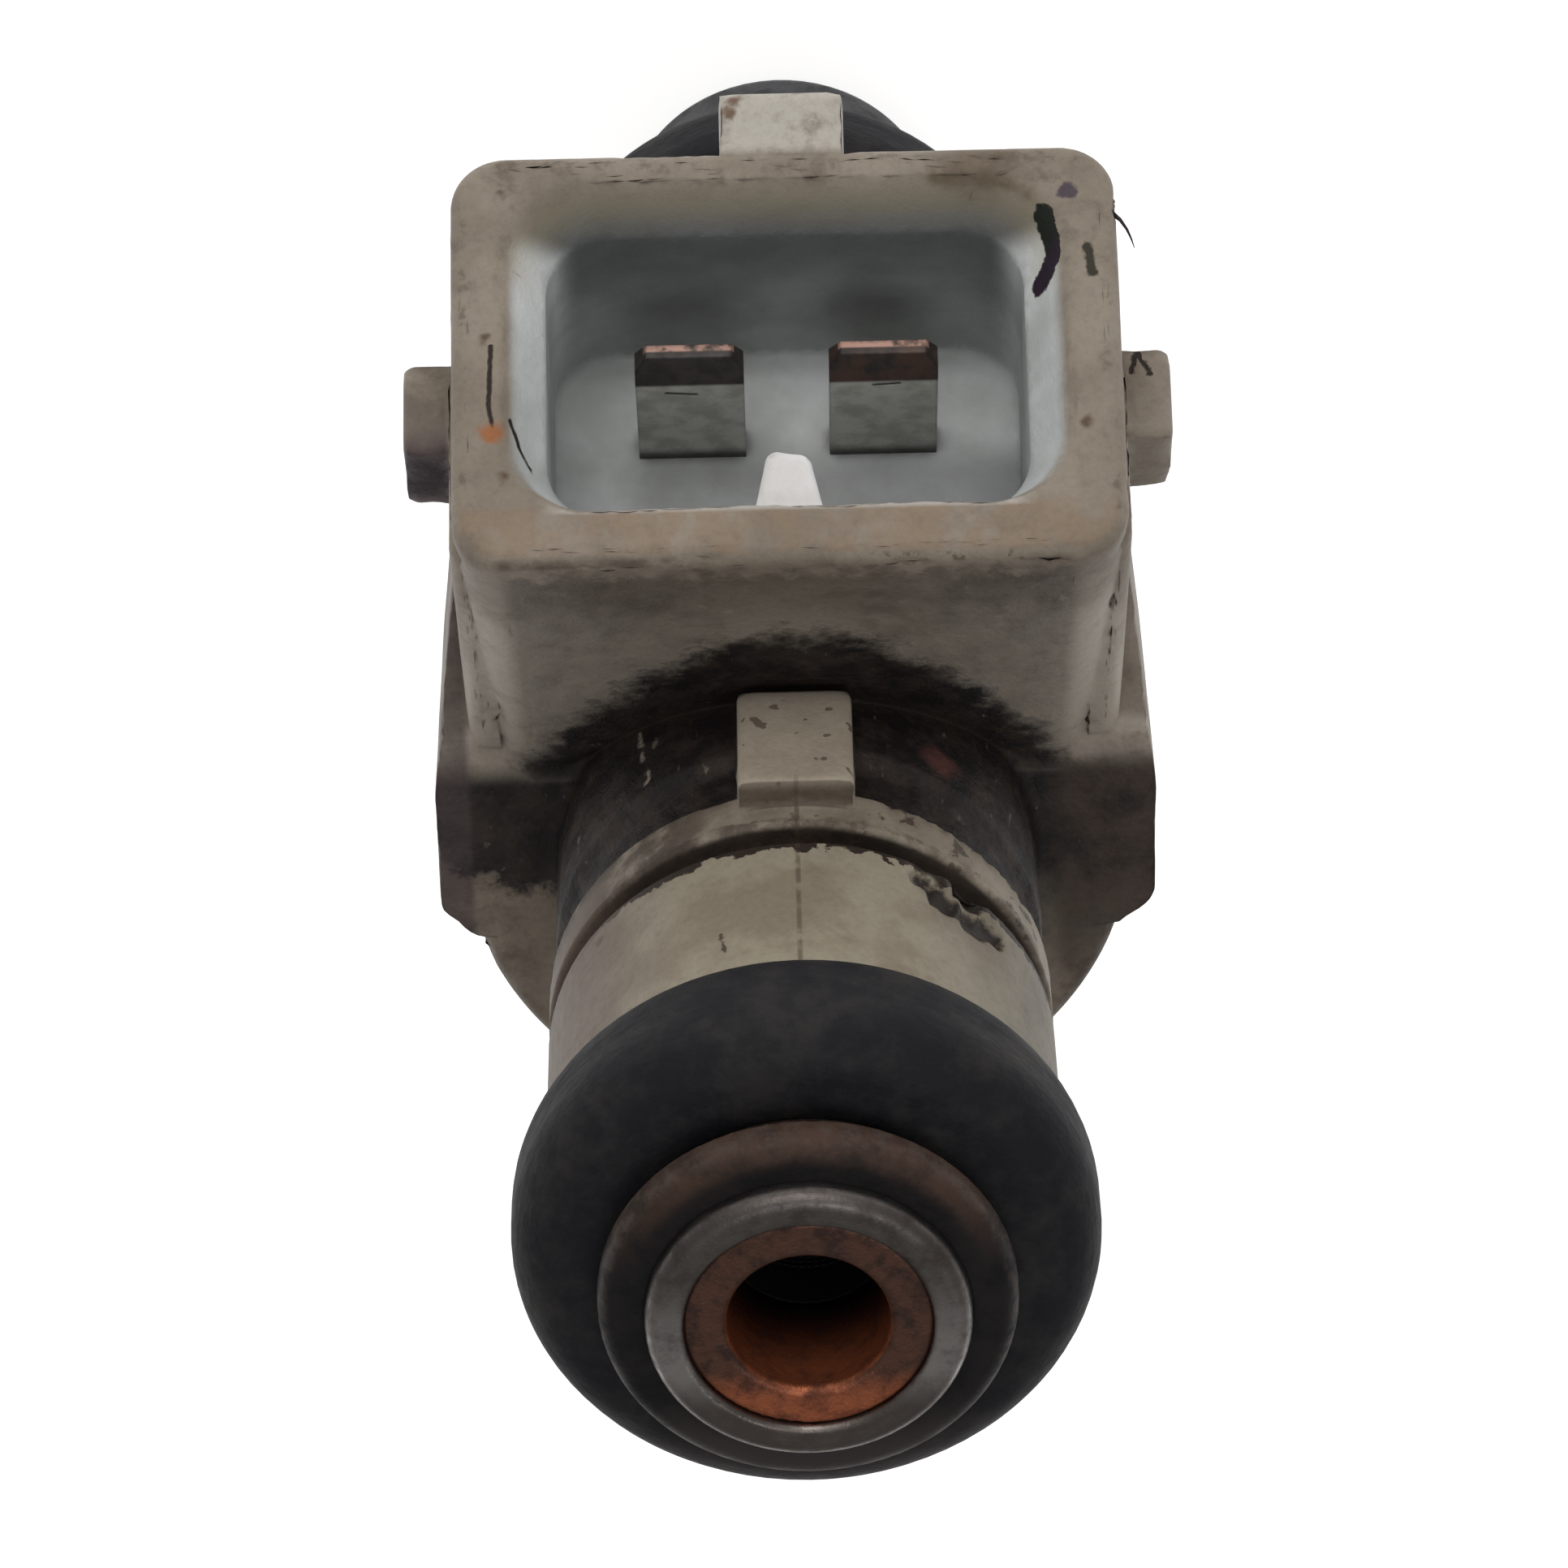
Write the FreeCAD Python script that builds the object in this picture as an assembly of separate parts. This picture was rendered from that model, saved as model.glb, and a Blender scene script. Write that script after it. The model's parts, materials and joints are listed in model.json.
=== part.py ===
"""Port fuel injector with a moulded body and a two-blade electrical socket.

Units are millimetres.  The injector axis is Z, with the fuel inlet at the top and
the nozzle at the bottom.  The socket points toward -Y and leans up toward the inlet.
The origin is on the axis, at the middle of the upper O-ring.
"""
import math
import os

import FreeCAD
import Part

V = FreeCAD.Vector

# ---------------------------------------------------------------- driving sizes
# Stations along the axis, from the inlet down to the nozzle.
INLET_TOP_Z = 4.3
FILTER_BOTTOM_Z = -10.6
GROOVE_TOP_Z = -7.4
GROOVE_BOTTOM_Z = -8.2
COLLAR_BOTTOM_Z = -9.7
STEP_TOP_Z = -11.6
SHOULDER_Z = -16.5
POLE_FACE_Z = -30.5
MOULDING_BOTTOM_Z = -35.5
LOWER_ORING_Z = -45.0
VALVE_BODY_BOTTOM_Z = -49.4
NOZZLE_END_Z = -52.6

# Seals, the same ring at both ends.
ORING_OUTER_R = 7.3
ORING_INNER_R = 4.0
ORING_LENGTH = 3.9
ORING_LAND = 0.9
ORING_BORE_ROUNDING = 0.9
RETAINER_R = 5.15
RETAINER_BASE_R = 4.6
RETAINER_FLANGE_Z = 2.7
RETAINER_TOP_Z = 3.7

# Inlet tube and filter.
TUBE_R = 4.0
TUBE_MOUTH_R = 3.05
TUBE_BORE_R = 1.9
TUBE_STEP_Z = -13.0
FILTER_HOLE_R = 2.0
FILTER_OUTER_R = 2.5
FILTER_MESH_R = 2.1
FILTER_RIBS = 3
FILTER_COLLAR_BOTTOM_Z = 0.6
FILTER_COLLAR_SINK = 0.2
FILTER_RING_HEIGHT = 1.4
FILTER_FOOT_HEIGHT = 0.8
FILTER_RIB_WIDTH = 0.6
MESH_THICKNESS = 0.1

# Moulded neck and round body.
NECK_R = 6.5
GROOVE_R = 5.7
RECESS_R = 6.0
RECESS_CHAMFER = 0.2
STEP_R = 6.35
STEP_CHAMFER = 0.5
BODY_R = 8.95
BODY_FOOT_R = 8.1
BODY_FOOT_Z = -32.5
EAR_HALF_WIDTH = 9.6
EAR_TIP_HALF_WIDTH = 8.8
EAR_BACK_Y = 2.5
EAR_CORNER_CUT = 0.9
EAR_WAIST_X = 8.6
EAR_WAIST_Y = -2.0
EAR_FRONT_Y = -9.0
EAR_BOTTOM_Z = -26.0
KEY_WIDTH = 3.0
KEY_FACE_Y = -7.15
KEY_BOTTOM_Z = -13.6
KEY_OVERLAP = 0.6
KEY_ROOT = 3.0

# Electrical socket, in its own frame: depth runs inward from the rim, "far" points
# to the nozzle side and "near" to the inlet side.
SOCKET_LEAN = 57.0
SOCKET_MOUTH_Y = -16.6
SOCKET_MOUTH_Z = -14.5
SHROUD_WIDTH = 17.0
SHROUD_HEIGHT = 11.7
SHROUD_ROOT_WIDTH = 16.2
SHROUD_CORNER_R = 1.4
SHROUD_LENGTH = 13.0
SHROUD_DRAFT = 0.15
MOUTH_WIDTH = 14.4
MOUTH_FAR = 4.95
MOUTH_NEAR = -4.3
THROAT_WIDTH = 12.2
THROAT_FAR = 4.05
THROAT_NEAR = -4.0
FLARE_DEPTH = 1.4
CAVITY_DEPTH = 8.0
MOUTH_CORNER_R = 2.2
THROAT_CORNER_R = 1.6
RIB_BASE = 1.9
RIB_TOP = 1.1
RIB_HEIGHT = 1.35
RIB_SETBACK = 0.35
TAB_WIDTH = 3.2
TAB_HEIGHT = 1.95
TAB_LENGTH = 6.0
TAB_SETBACK = 0.3
TAB_ROOT = 1.0
TAB_TAIL = 1.5
TAB_TAIL_ROOT = 0.5
LUG_REACH = 9.85
LUG_HEIGHT = 2.5
LUG_START = 2.8
LUG_END = 5.8
CHEEK_INNER = 7.7
CHEEK_OUTER = 8.6
CHEEK_START = 1.2
CHEEK_RECESS = 0.8
CHEEK_BACK_Y = -3.6
CHEEK_RISE = 0.1
CHEEK_EDGE_R = 0.5
JOIN_OVERLAP = 0.3

# Terminals: 2.8 mm by 0.8 mm blades on a 5 mm pitch.
BLADE_WIDTH = 2.8
BLADE_THICKNESS = 0.8
BLADE_PITCH = 5.0
BLADE_TIP_DEPTH = 2.7
BLADE_ROOT_DEPTH = 10.6
BLADE_FAR_SHIFT = 1.45
BLADE_TAPER = 1.2
BLADE_TIP_SHARE = 0.45
BLADE_WEDGE_SHARE = 1.5
BLADE_EDGE_TAPER = 0.3
STEM_WIDTH = 1.8
STEM_INNER_Y = -4.9
STEM_FOOT_GAP = 0.1

# Magnet and valve.
HOUSING_R = 7.4
HOUSING_WALL = 0.6
HOUSING_TOP_Z = -23.0
HOUSING_BOTTOM_Z = -35.0
WASHER_THICKNESS = 1.2
SHELL_R = 4.5
SHELL_TOP_Z = -27.5
SHELL_BOTTOM_Z = -37.2
BOBBIN_FLANGE = 0.8
BOBBIN_WALL = 0.45
BOBBIN_CLEARANCE = 0.1
WINDING_R = 6.5
NOTCH_WIDTH = 8.0
NOTCH_START = 4.7
LEAD_R = 0.25
GUIDE_GAP = 0.05
AIR_GAP = 0.13
ARMATURE_BOTTOM_Z = -38.6
SPRING_SEAT_Z = -33.4
SLEEVE_TOP_Z = -16.5
SLEEVE_BOTTOM_Z = -22.5
SLEEVE_BORE_R = 1.25
SLEEVE_SPLIT = 0.4
SPRING_WIRE = 0.4
SPRING_TURNS = 9
POINTS_PER_TURN = 8
SPRING_END_GAP = 0.02
SPRING_CLEARANCE = 0.15
ARMATURE_BORE_R = 1.95
NEEDLE_TOP_Z = -35.6
NEEDLE_R = 1.25
NEEDLE_BORE_R = 0.75
NEEDLE_HOLE_R = 0.45
NEEDLE_HOLE_RISE = 1.2
BALL_R = 1.75
BALL_Z = -45.9
BALL_SEAT_GAP = 0.02
BALL_GUIDE_GAP = 0.03
VALVE_FLANGE_R = 6.2
VALVE_WAIST_R = 4.9
VALVE_BORE_R = 3.3
CHAMBER_R = 4.05
WAIST_TOP_Z = -39.0
GUIDE_TOP_Z = -45.0
GUIDE_THICKNESS = 1.5
GUIDE_HOLES = 6
GUIDE_HOLE_R = 0.45
SEAT_BORE_R = 0.8
SEAT_SLANT = 45.0
SPRAY_HOLES = 4
SPRAY_HOLE_R = 0.12
SPRAY_CIRCLE_R = 0.4
CHAMBER_BORE_R = 2.3
CHAMBER_TOP_Z = -39.2
PLATE_THICKNESS = 0.3
CAP_R = 5.4
CAP_NOSE_R = 4.8
CAP_SHOULDER_Z = -48.6
CAP_BORE_R = 3.0
BACKING_R = 6.6
BACKING_THICKNESS = 1.2

# Edge roundings, from a crisp turned edge to a soft moulded one.
SAME_POINT = 1e-6
NEAR_ENOUGH = 0.01
CRISP_EDGE_R = 0.1
FINE_EDGE_R = 0.15
SMALL_EDGE_R = 0.2
EDGE_R = 0.3
SOFT_EDGE_R = 0.4
WIDE_EDGE_R = 0.5
RETAINER_ROLL_R = 0.6
RETAINER_EDGE_R = 0.12
NECK_EDGE_R = 0.25
RIB_EDGE_R = 0.35
RIM_EDGE_R = 0.45
NOSE_EDGE_R = 0.6
EAR_EDGE_R = 0.8
EAR_SHOULDER_R = 2.0

# ---------------------------------------------------------------- derived sizes
LEAN = math.radians(SOCKET_LEAN)
SOCKET_OUT = V(0, -math.sin(LEAN), math.cos(LEAN))
SOCKET_FAR = V(0, -math.cos(LEAN), -math.sin(LEAN))
SOCKET_MOUTH = V(0, SOCKET_MOUTH_Y, SOCKET_MOUTH_Z)
NECK_TOP_Z = -ORING_LENGTH / 2
WAIST_BOTTOM_Z = LOWER_ORING_Z + ORING_LENGTH / 2 + BACKING_THICKNESS
HOUSING_BORE_R = HOUSING_R - HOUSING_WALL
BOBBIN_TOP_Z = HOUSING_TOP_Z - WASHER_THICKNESS
BOBBIN_BOTTOM_Z = HOUSING_BOTTOM_Z + WASHER_THICKNESS
BOBBIN_BORE_R = SHELL_R
BOBBIN_R = HOUSING_BORE_R - BOBBIN_CLEARANCE
FILTER_RING_BOTTOM_Z = FILTER_COLLAR_BOTTOM_Z - FILTER_RING_HEIGHT
FILTER_FOOT_TOP_Z = FILTER_BOTTOM_Z + FILTER_FOOT_HEIGHT
BLADE_NEAR = BLADE_FAR_SHIFT - BLADE_THICKNESS / 2
BLADE_FAR = BLADE_FAR_SHIFT + BLADE_THICKNESS / 2
ARMATURE_R = TUBE_R - GUIDE_GAP
ARMATURE_TOP_Z = POLE_FACE_Z - AIR_GAP
SEAT_BOTTOM_Z = VALVE_BODY_BOTTOM_Z + PLATE_THICKNESS


# ---------------------------------------------------------------- shape helpers
def rounded_wire(corners):
    """Closed outline through (point, radius) corners; a zero radius stays sharp."""
    edges = []
    ends = []
    count = len(corners)
    for index, (here, radius) in enumerate(corners):
        back = (corners[index - 1][0] - here).normalize()
        ahead = (corners[(index + 1) % count][0] - here).normalize()
        if radius <= 0:
            ends.append((here, None, here))
            continue
        half_angle = back.getAngle(ahead) / 2
        setback = radius / math.tan(half_angle)
        inward = (back + ahead).normalize()
        middle = here + inward * (radius / math.sin(half_angle) - radius)
        ends.append((here + back * setback, middle, here + ahead * setback))
    for index, (start, middle, end) in enumerate(ends):
        if middle is not None:
            edges.append(Part.Arc(start, middle, end).toShape())
        following = ends[(index + 1) % count][0]
        if (following - end).Length > SAME_POINT:
            edges.append(Part.makeLine(end, following))
    return Part.Wire(edges)


def ring(outer_r, inner_r, top_z, bottom_z):
    """A plain round ring, or a disc when the inner radius is zero."""
    height = top_z - bottom_z
    body = Part.makeCylinder(outer_r, height, V(0, 0, bottom_z))
    if inner_r > 0:
        body = body.cut(Part.makeCylinder(inner_r, height, V(0, 0, bottom_z)))
    return body


def turned(points):
    """Turn a closed outline about the axis: each point is (radius, z) or (radius, z, rounding)."""
    corners = [(V(p[0], 0, p[1]), p[2] if len(p) > 2 else 0) for p in points]
    return Part.Face(rounded_wire(corners)).revolve(V(0, 0, 0), V(0, 0, 1), 360)


def bar(start, end, radius):
    """A round bar between two points."""
    along = end - start
    return Part.makeCylinder(radius, along.Length, start, along)


def socket_point(across, far, depth):
    """A point in the socket's frame: across the rim, toward the far side, and inward."""
    return SOCKET_MOUTH + V(across, 0, 0) + SOCKET_FAR * far - SOCKET_OUT * depth


def socket_outline(width, near, far, corner_r, depth):
    """A rounded rectangle square to the socket's axis, at a depth below the rim."""
    half = width / 2
    sides = [(half, far), (-half, far), (-half, near), (half, near)]
    return rounded_wire([(socket_point(across, away, depth), corner_r) for across, away in sides])


def socket_block(left, right, near, far, start_depth, end_depth):
    """A box square to the socket's axis."""
    sides = [(left, near), (right, near), (right, far), (left, far)]
    wire = rounded_wire([(socket_point(across, away, start_depth), 0) for across, away in sides])
    return Part.Face(wire).extrude(SOCKET_OUT * (start_depth - end_depth))


# ---------------------------------------------------------------- inlet end
def make_inlet_tube():
    """Steel tube that carries the fuel in and ends below as the magnet's pole."""
    return turned([(TUBE_MOUTH_R, INLET_TOP_Z, FINE_EDGE_R), (TUBE_R, INLET_TOP_Z, SOFT_EDGE_R),
                   (TUBE_R, POLE_FACE_Z), (TUBE_BORE_R, POLE_FACE_Z),
                   (TUBE_BORE_R, TUBE_STEP_Z), (TUBE_MOUTH_R, TUBE_STEP_Z)])


def make_retainer():
    """Pressed collar above the upper O-ring: a narrow base under a rolled flange."""
    base_z = ORING_LENGTH / 2
    return turned([(TUBE_R, RETAINER_TOP_Z), (RETAINER_R, RETAINER_TOP_Z, RETAINER_ROLL_R),
                   (RETAINER_R, RETAINER_FLANGE_Z, RETAINER_EDGE_R),
                   (RETAINER_BASE_R, RETAINER_FLANGE_Z), (RETAINER_BASE_R, base_z), (TUBE_R, base_z)])


def make_oring(middle_z):
    """Seal ring worn flat on its outside, where it has sat against the bore."""
    outer_rounding = (ORING_LENGTH - ORING_LAND) / 2
    top_z = middle_z + ORING_LENGTH / 2
    bottom_z = middle_z - ORING_LENGTH / 2
    return turned([(ORING_INNER_R, top_z, ORING_BORE_ROUNDING), (ORING_OUTER_R, top_z, outer_rounding),
                   (ORING_OUTER_R, bottom_z, outer_rounding),
                   (ORING_INNER_R, bottom_z, ORING_BORE_ROUNDING)])


def make_filter_collar():
    """Bronze collar that holds the inlet filter in the tube's mouth."""
    top_z = INLET_TOP_Z - FILTER_COLLAR_SINK
    return turned([(FILTER_HOLE_R, top_z, SMALL_EDGE_R), (TUBE_MOUTH_R, top_z, CRISP_EDGE_R),
                   (TUBE_MOUTH_R, FILTER_COLLAR_BOTTOM_Z), (FILTER_HOLE_R, FILTER_COLLAR_BOTTOM_Z)])


def make_filter_frame():
    """Plastic basket frame: a ring under the collar, ribs and a closed foot."""
    frame = ring(FILTER_OUTER_R, FILTER_HOLE_R, FILTER_COLLAR_BOTTOM_Z, FILTER_RING_BOTTOM_Z)
    foot = ring(FILTER_OUTER_R, 0, FILTER_FOOT_TOP_Z, FILTER_BOTTOM_Z)
    frame = frame.fuse(foot)
    rib_size = (FILTER_OUTER_R - FILTER_MESH_R, FILTER_RIB_WIDTH, FILTER_RING_BOTTOM_Z - FILTER_FOOT_TOP_Z)
    for turn in range(FILTER_RIBS):
        angle = 360 * turn / FILTER_RIBS
        rib = Part.makeBox(*rib_size, V(FILTER_MESH_R, -FILTER_RIB_WIDTH / 2, FILTER_FOOT_TOP_Z))
        rib.rotate(V(0, 0, 0), V(0, 0, 1), angle)
        frame = frame.fuse(rib)
    return frame.removeSplitter()


def make_filter_mesh():
    """Fine screen inside the basket's ribs, taken as one thin sleeve."""
    return ring(FILTER_MESH_R, FILTER_MESH_R - MESH_THICKNESS, FILTER_RING_BOTTOM_Z, FILTER_FOOT_TOP_Z)


# ---------------------------------------------------------------- magnet
def make_coil_housing():
    """Steel can round the coil, closed below by a flange on the valve body."""
    floor_top_z = HOUSING_BOTTOM_Z + WASHER_THICKNESS
    return turned([(HOUSING_BORE_R, HOUSING_TOP_Z), (HOUSING_R, HOUSING_TOP_Z, SMALL_EDGE_R),
                   (HOUSING_R, HOUSING_BOTTOM_Z, EDGE_R), (SHELL_R, HOUSING_BOTTOM_Z),
                   (SHELL_R, floor_top_z), (HOUSING_BORE_R, floor_top_z)])


def make_flux_washer():
    """Upper iron ring, notched on the socket side to let the terminals through."""
    washer = ring(HOUSING_BORE_R, TUBE_R, HOUSING_TOP_Z, BOBBIN_TOP_Z)
    notch = Part.makeBox(NOTCH_WIDTH, HOUSING_R, WASHER_THICKNESS,
                         V(-NOTCH_WIDTH / 2, -NOTCH_START - HOUSING_R, BOBBIN_TOP_Z))
    return washer.cut(notch)


def make_bobbin():
    """Plastic spool with two flanges; its tube slides over the pole and the shell."""
    tube_r = BOBBIN_BORE_R + BOBBIN_WALL
    spool = turned([(BOBBIN_BORE_R, BOBBIN_TOP_Z), (BOBBIN_R, BOBBIN_TOP_Z),
                    (BOBBIN_R, BOBBIN_TOP_Z - BOBBIN_FLANGE), (tube_r, BOBBIN_TOP_Z - BOBBIN_FLANGE),
                    (tube_r, BOBBIN_BOTTOM_Z + BOBBIN_FLANGE), (BOBBIN_R, BOBBIN_BOTTOM_Z + BOBBIN_FLANGE),
                    (BOBBIN_R, BOBBIN_BOTTOM_Z), (BOBBIN_BORE_R, BOBBIN_BOTTOM_Z)])
    for side in (-1, 1):
        spool = spool.cut(lead_route(side))
    return spool


def make_winding():
    """The coil's copper turns, taken as one solid ring."""
    return ring(WINDING_R, BOBBIN_BORE_R + BOBBIN_WALL,
                BOBBIN_TOP_Z - BOBBIN_FLANGE, BOBBIN_BOTTOM_Z + BOBBIN_FLANGE)


def make_shell():
    """Thin non-magnetic tube that joins the pole to the valve body and guides the armature."""
    return ring(SHELL_R, TUBE_R, SHELL_TOP_Z, SHELL_BOTTOM_Z)


# ---------------------------------------------------------------- terminals
def make_terminal(side):
    """One blade in the socket, its stem in the moulding, and a foot over the bobbin."""
    middle = side * BLADE_PITCH / 2
    blade = socket_block(middle - BLADE_WIDTH / 2, middle + BLADE_WIDTH / 2, BLADE_NEAR, BLADE_FAR,
                         BLADE_TIP_DEPTH, BLADE_ROOT_DEPTH)
    return blade.cut(blade_tapers(middle)).fuse(terminal_stem(middle)).removeSplitter()


def blade_tapers(middle):
    """Wedges cut from a blade's tip, on its two broad faces and its two edges."""
    half_t = BLADE_THICKNESS / 2
    half_w = BLADE_WIDTH / 2
    wedges = []
    for way in (-1, 1):
        face = [(BLADE_FAR_SHIFT + way * half_t * BLADE_TIP_SHARE, BLADE_TIP_DEPTH),
                (BLADE_FAR_SHIFT + way * half_t * BLADE_WEDGE_SHARE, BLADE_TIP_DEPTH),
                (BLADE_FAR_SHIFT + way * half_t, BLADE_TIP_DEPTH + BLADE_TAPER)]
        wire = rounded_wire([(socket_point(middle - half_w, far, depth), 0) for far, depth in face])
        wedges.append(Part.Face(wire).extrude(V(BLADE_WIDTH, 0, 0)))
        edge = [(middle + way * (half_w - BLADE_EDGE_TAPER), BLADE_TIP_DEPTH),
                (middle + way * (half_w + BLADE_EDGE_TAPER), BLADE_TIP_DEPTH),
                (middle + way * half_w, BLADE_TIP_DEPTH + BLADE_TAPER / 2)]
        wire = rounded_wire([(socket_point(across, BLADE_NEAR, depth), 0) for across, depth in edge])
        wedges.append(Part.Face(wire).extrude(SOCKET_FAR * BLADE_THICKNESS))
    return Part.makeCompound(wedges)


def terminal_stem(middle):
    """Bent strip from the blade's root, over the coil housing, down to the bobbin."""
    root = socket_point(0, BLADE_FAR_SHIFT, BLADE_ROOT_DEPTH)
    low_z = root.z - BLADE_THICKNESS / 2
    high_z = root.z + BLADE_THICKNESS / 2
    foot_z = BOBBIN_TOP_Z + STEM_FOOT_GAP
    x = middle - STEM_WIDTH / 2
    outline = [V(x, root.y, low_z), V(x, root.y, high_z), V(x, STEM_INNER_Y, high_z),
               V(x, STEM_INNER_Y, foot_z), V(x, STEM_INNER_Y - BLADE_THICKNESS, foot_z),
               V(x, STEM_INNER_Y - BLADE_THICKNESS, low_z)]
    return Part.Face(rounded_wire([(p, 0) for p in outline])).extrude(V(STEM_WIDTH, 0, 0))


def lead_route(side):
    """Path of one coil lead, from a terminal's foot through the bobbin's flange."""
    x = side * BLADE_PITCH / 2
    y = STEM_INNER_Y - BLADE_THICKNESS / 2
    top = V(x, y, BOBBIN_TOP_Z + STEM_FOOT_GAP)
    bottom = V(x, y, BOBBIN_TOP_Z - BOBBIN_FLANGE)
    return bar(bottom, top, LEAD_R)


# ---------------------------------------------------------------- valve
def make_adjusting_sleeve():
    """Split sleeve pressed into the tube; its depth sets the spring's load."""
    sleeve = ring(TUBE_BORE_R, SLEEVE_BORE_R, SLEEVE_TOP_Z, SLEEVE_BOTTOM_Z)
    split = Part.makeBox(2 * TUBE_BORE_R, SLEEVE_SPLIT, SLEEVE_TOP_Z - SLEEVE_BOTTOM_Z,
                         V(0, -SLEEVE_SPLIT / 2, SLEEVE_BOTTOM_Z))
    return sleeve.cut(split)


def make_return_spring():
    """Coil spring between the adjusting sleeve and the armature's seat."""
    radius = TUBE_BORE_R - SPRING_WIRE / 2 - SPRING_CLEARANCE
    top_z = SLEEVE_BOTTOM_Z - SPRING_WIRE / 2 - SPRING_END_GAP
    bottom_z = SPRING_SEAT_Z + SPRING_WIRE / 2 + SPRING_END_GAP
    steps = SPRING_TURNS * POINTS_PER_TURN
    places = []
    for step in range(steps + 1):
        angle = 2 * math.pi * step / POINTS_PER_TURN
        height = bottom_z + (top_z - bottom_z) * step / steps
        places.append(V(radius * math.cos(angle), radius * math.sin(angle), height))
    curve = Part.BSplineCurve()
    curve.interpolate(places)
    spine = curve.toShape()
    heading = spine.tangentAt(spine.FirstParameter)
    section = Part.Wire(Part.makeCircle(SPRING_WIRE / 2, places[0], heading))
    return Part.Wire([spine]).makePipeShell([section], True, True)


def make_armature():
    """Soft-iron plunger that the magnet lifts; the needle is pressed into its foot."""
    return turned([(ARMATURE_BORE_R, ARMATURE_TOP_Z), (ARMATURE_R, ARMATURE_TOP_Z, FINE_EDGE_R),
                   (ARMATURE_R, ARMATURE_BOTTOM_Z, SMALL_EDGE_R), (NEEDLE_R, ARMATURE_BOTTOM_Z),
                   (NEEDLE_R, NEEDLE_TOP_Z), (NEEDLE_BORE_R, NEEDLE_TOP_Z),
                   (NEEDLE_BORE_R, SPRING_SEAT_Z), (ARMATURE_BORE_R, SPRING_SEAT_Z)])


def make_needle():
    """Hollow needle with side holes that let the fuel out above the seat."""
    bottom_z = BALL_Z + math.sqrt(BALL_R ** 2 - NEEDLE_R ** 2)
    tube = ring(NEEDLE_R, NEEDLE_BORE_R, NEEDLE_TOP_Z, bottom_z)
    hole_z = bottom_z + NEEDLE_HOLE_RISE
    for angle in (0, 90):
        hole = Part.makeCylinder(NEEDLE_HOLE_R, 4 * NEEDLE_R, V(-2 * NEEDLE_R, 0, hole_z), V(1, 0, 0))
        hole.rotate(V(0, 0, hole_z), V(0, 0, 1), angle)
        tube = tube.cut(hole)
    return tube.cut(make_ball())


def make_ball():
    """Sealing ball welded to the needle's end."""
    return Part.makeSphere(BALL_R, V(0, 0, BALL_Z))


def make_valve_body():
    """Steel body below the coil that carries the seal, the guide and the seat."""
    flange_top_z = HOUSING_BOTTOM_Z
    return turned([(SHELL_R, flange_top_z), (VALVE_FLANGE_R, flange_top_z),
                   (VALVE_FLANGE_R, WAIST_TOP_Z, SOFT_EDGE_R), (VALVE_WAIST_R, WAIST_TOP_Z),
                   (VALVE_WAIST_R, WAIST_BOTTOM_Z), (ORING_INNER_R, WAIST_BOTTOM_Z),
                   (ORING_INNER_R, VALVE_BODY_BOTTOM_Z, SMALL_EDGE_R),
                   (VALVE_BORE_R, VALVE_BODY_BOTTOM_Z),
                   (VALVE_BORE_R, GUIDE_TOP_Z), (CHAMBER_BORE_R, GUIDE_TOP_Z),
                   (CHAMBER_BORE_R, CHAMBER_TOP_Z), (CHAMBER_R, CHAMBER_TOP_Z),
                   (CHAMBER_R, SHELL_BOTTOM_Z), (SHELL_R, SHELL_BOTTOM_Z)])


def make_needle_guide():
    """Guide disc that centres the ball, with holes for the fuel round it."""
    disc = ring(VALVE_BORE_R, BALL_R + BALL_GUIDE_GAP, GUIDE_TOP_Z, GUIDE_TOP_Z - GUIDE_THICKNESS)
    for turn in range(GUIDE_HOLES):
        angle = math.radians(360 * turn / GUIDE_HOLES)
        radius = (VALVE_BORE_R + BALL_R) / 2
        place = V(radius * math.cos(angle), radius * math.sin(angle), GUIDE_TOP_Z - GUIDE_THICKNESS)
        disc = disc.cut(Part.makeCylinder(GUIDE_HOLE_R, GUIDE_THICKNESS, place))
    return disc


def make_valve_seat():
    """Seat disc with the cone that the ball closes, and a bore below it."""
    top_z = GUIDE_TOP_Z - GUIDE_THICKNESS
    disc = turned([(0, top_z), (VALVE_BORE_R, top_z), (VALVE_BORE_R, SEAT_BOTTOM_Z), (0, SEAT_BOTTOM_Z)])
    slant = math.radians(SEAT_SLANT)
    reach = BALL_R + BALL_SEAT_GAP
    apex_z = BALL_Z - reach / math.sin(slant)
    cone_top_r = (top_z - apex_z) * math.tan(slant)
    cone = Part.makeCone(0, cone_top_r, top_z - apex_z, V(0, 0, apex_z))
    bore = Part.makeCylinder(SEAT_BORE_R, top_z - SEAT_BOTTOM_Z, V(0, 0, SEAT_BOTTOM_Z))
    return disc.cut(cone).cut(bore)


def make_orifice_plate():
    """Thin disc with the metering holes."""
    plate = ring(VALVE_BORE_R, 0, SEAT_BOTTOM_Z, VALVE_BODY_BOTTOM_Z)
    for turn in range(SPRAY_HOLES):
        angle = math.radians(360 * (turn + 1 / 2) / SPRAY_HOLES)
        place = V(SPRAY_CIRCLE_R * math.cos(angle), SPRAY_CIRCLE_R * math.sin(angle), VALVE_BODY_BOTTOM_Z)
        plate = plate.cut(Part.makeCylinder(SPRAY_HOLE_R, PLATE_THICKNESS, place))
    return plate


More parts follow.
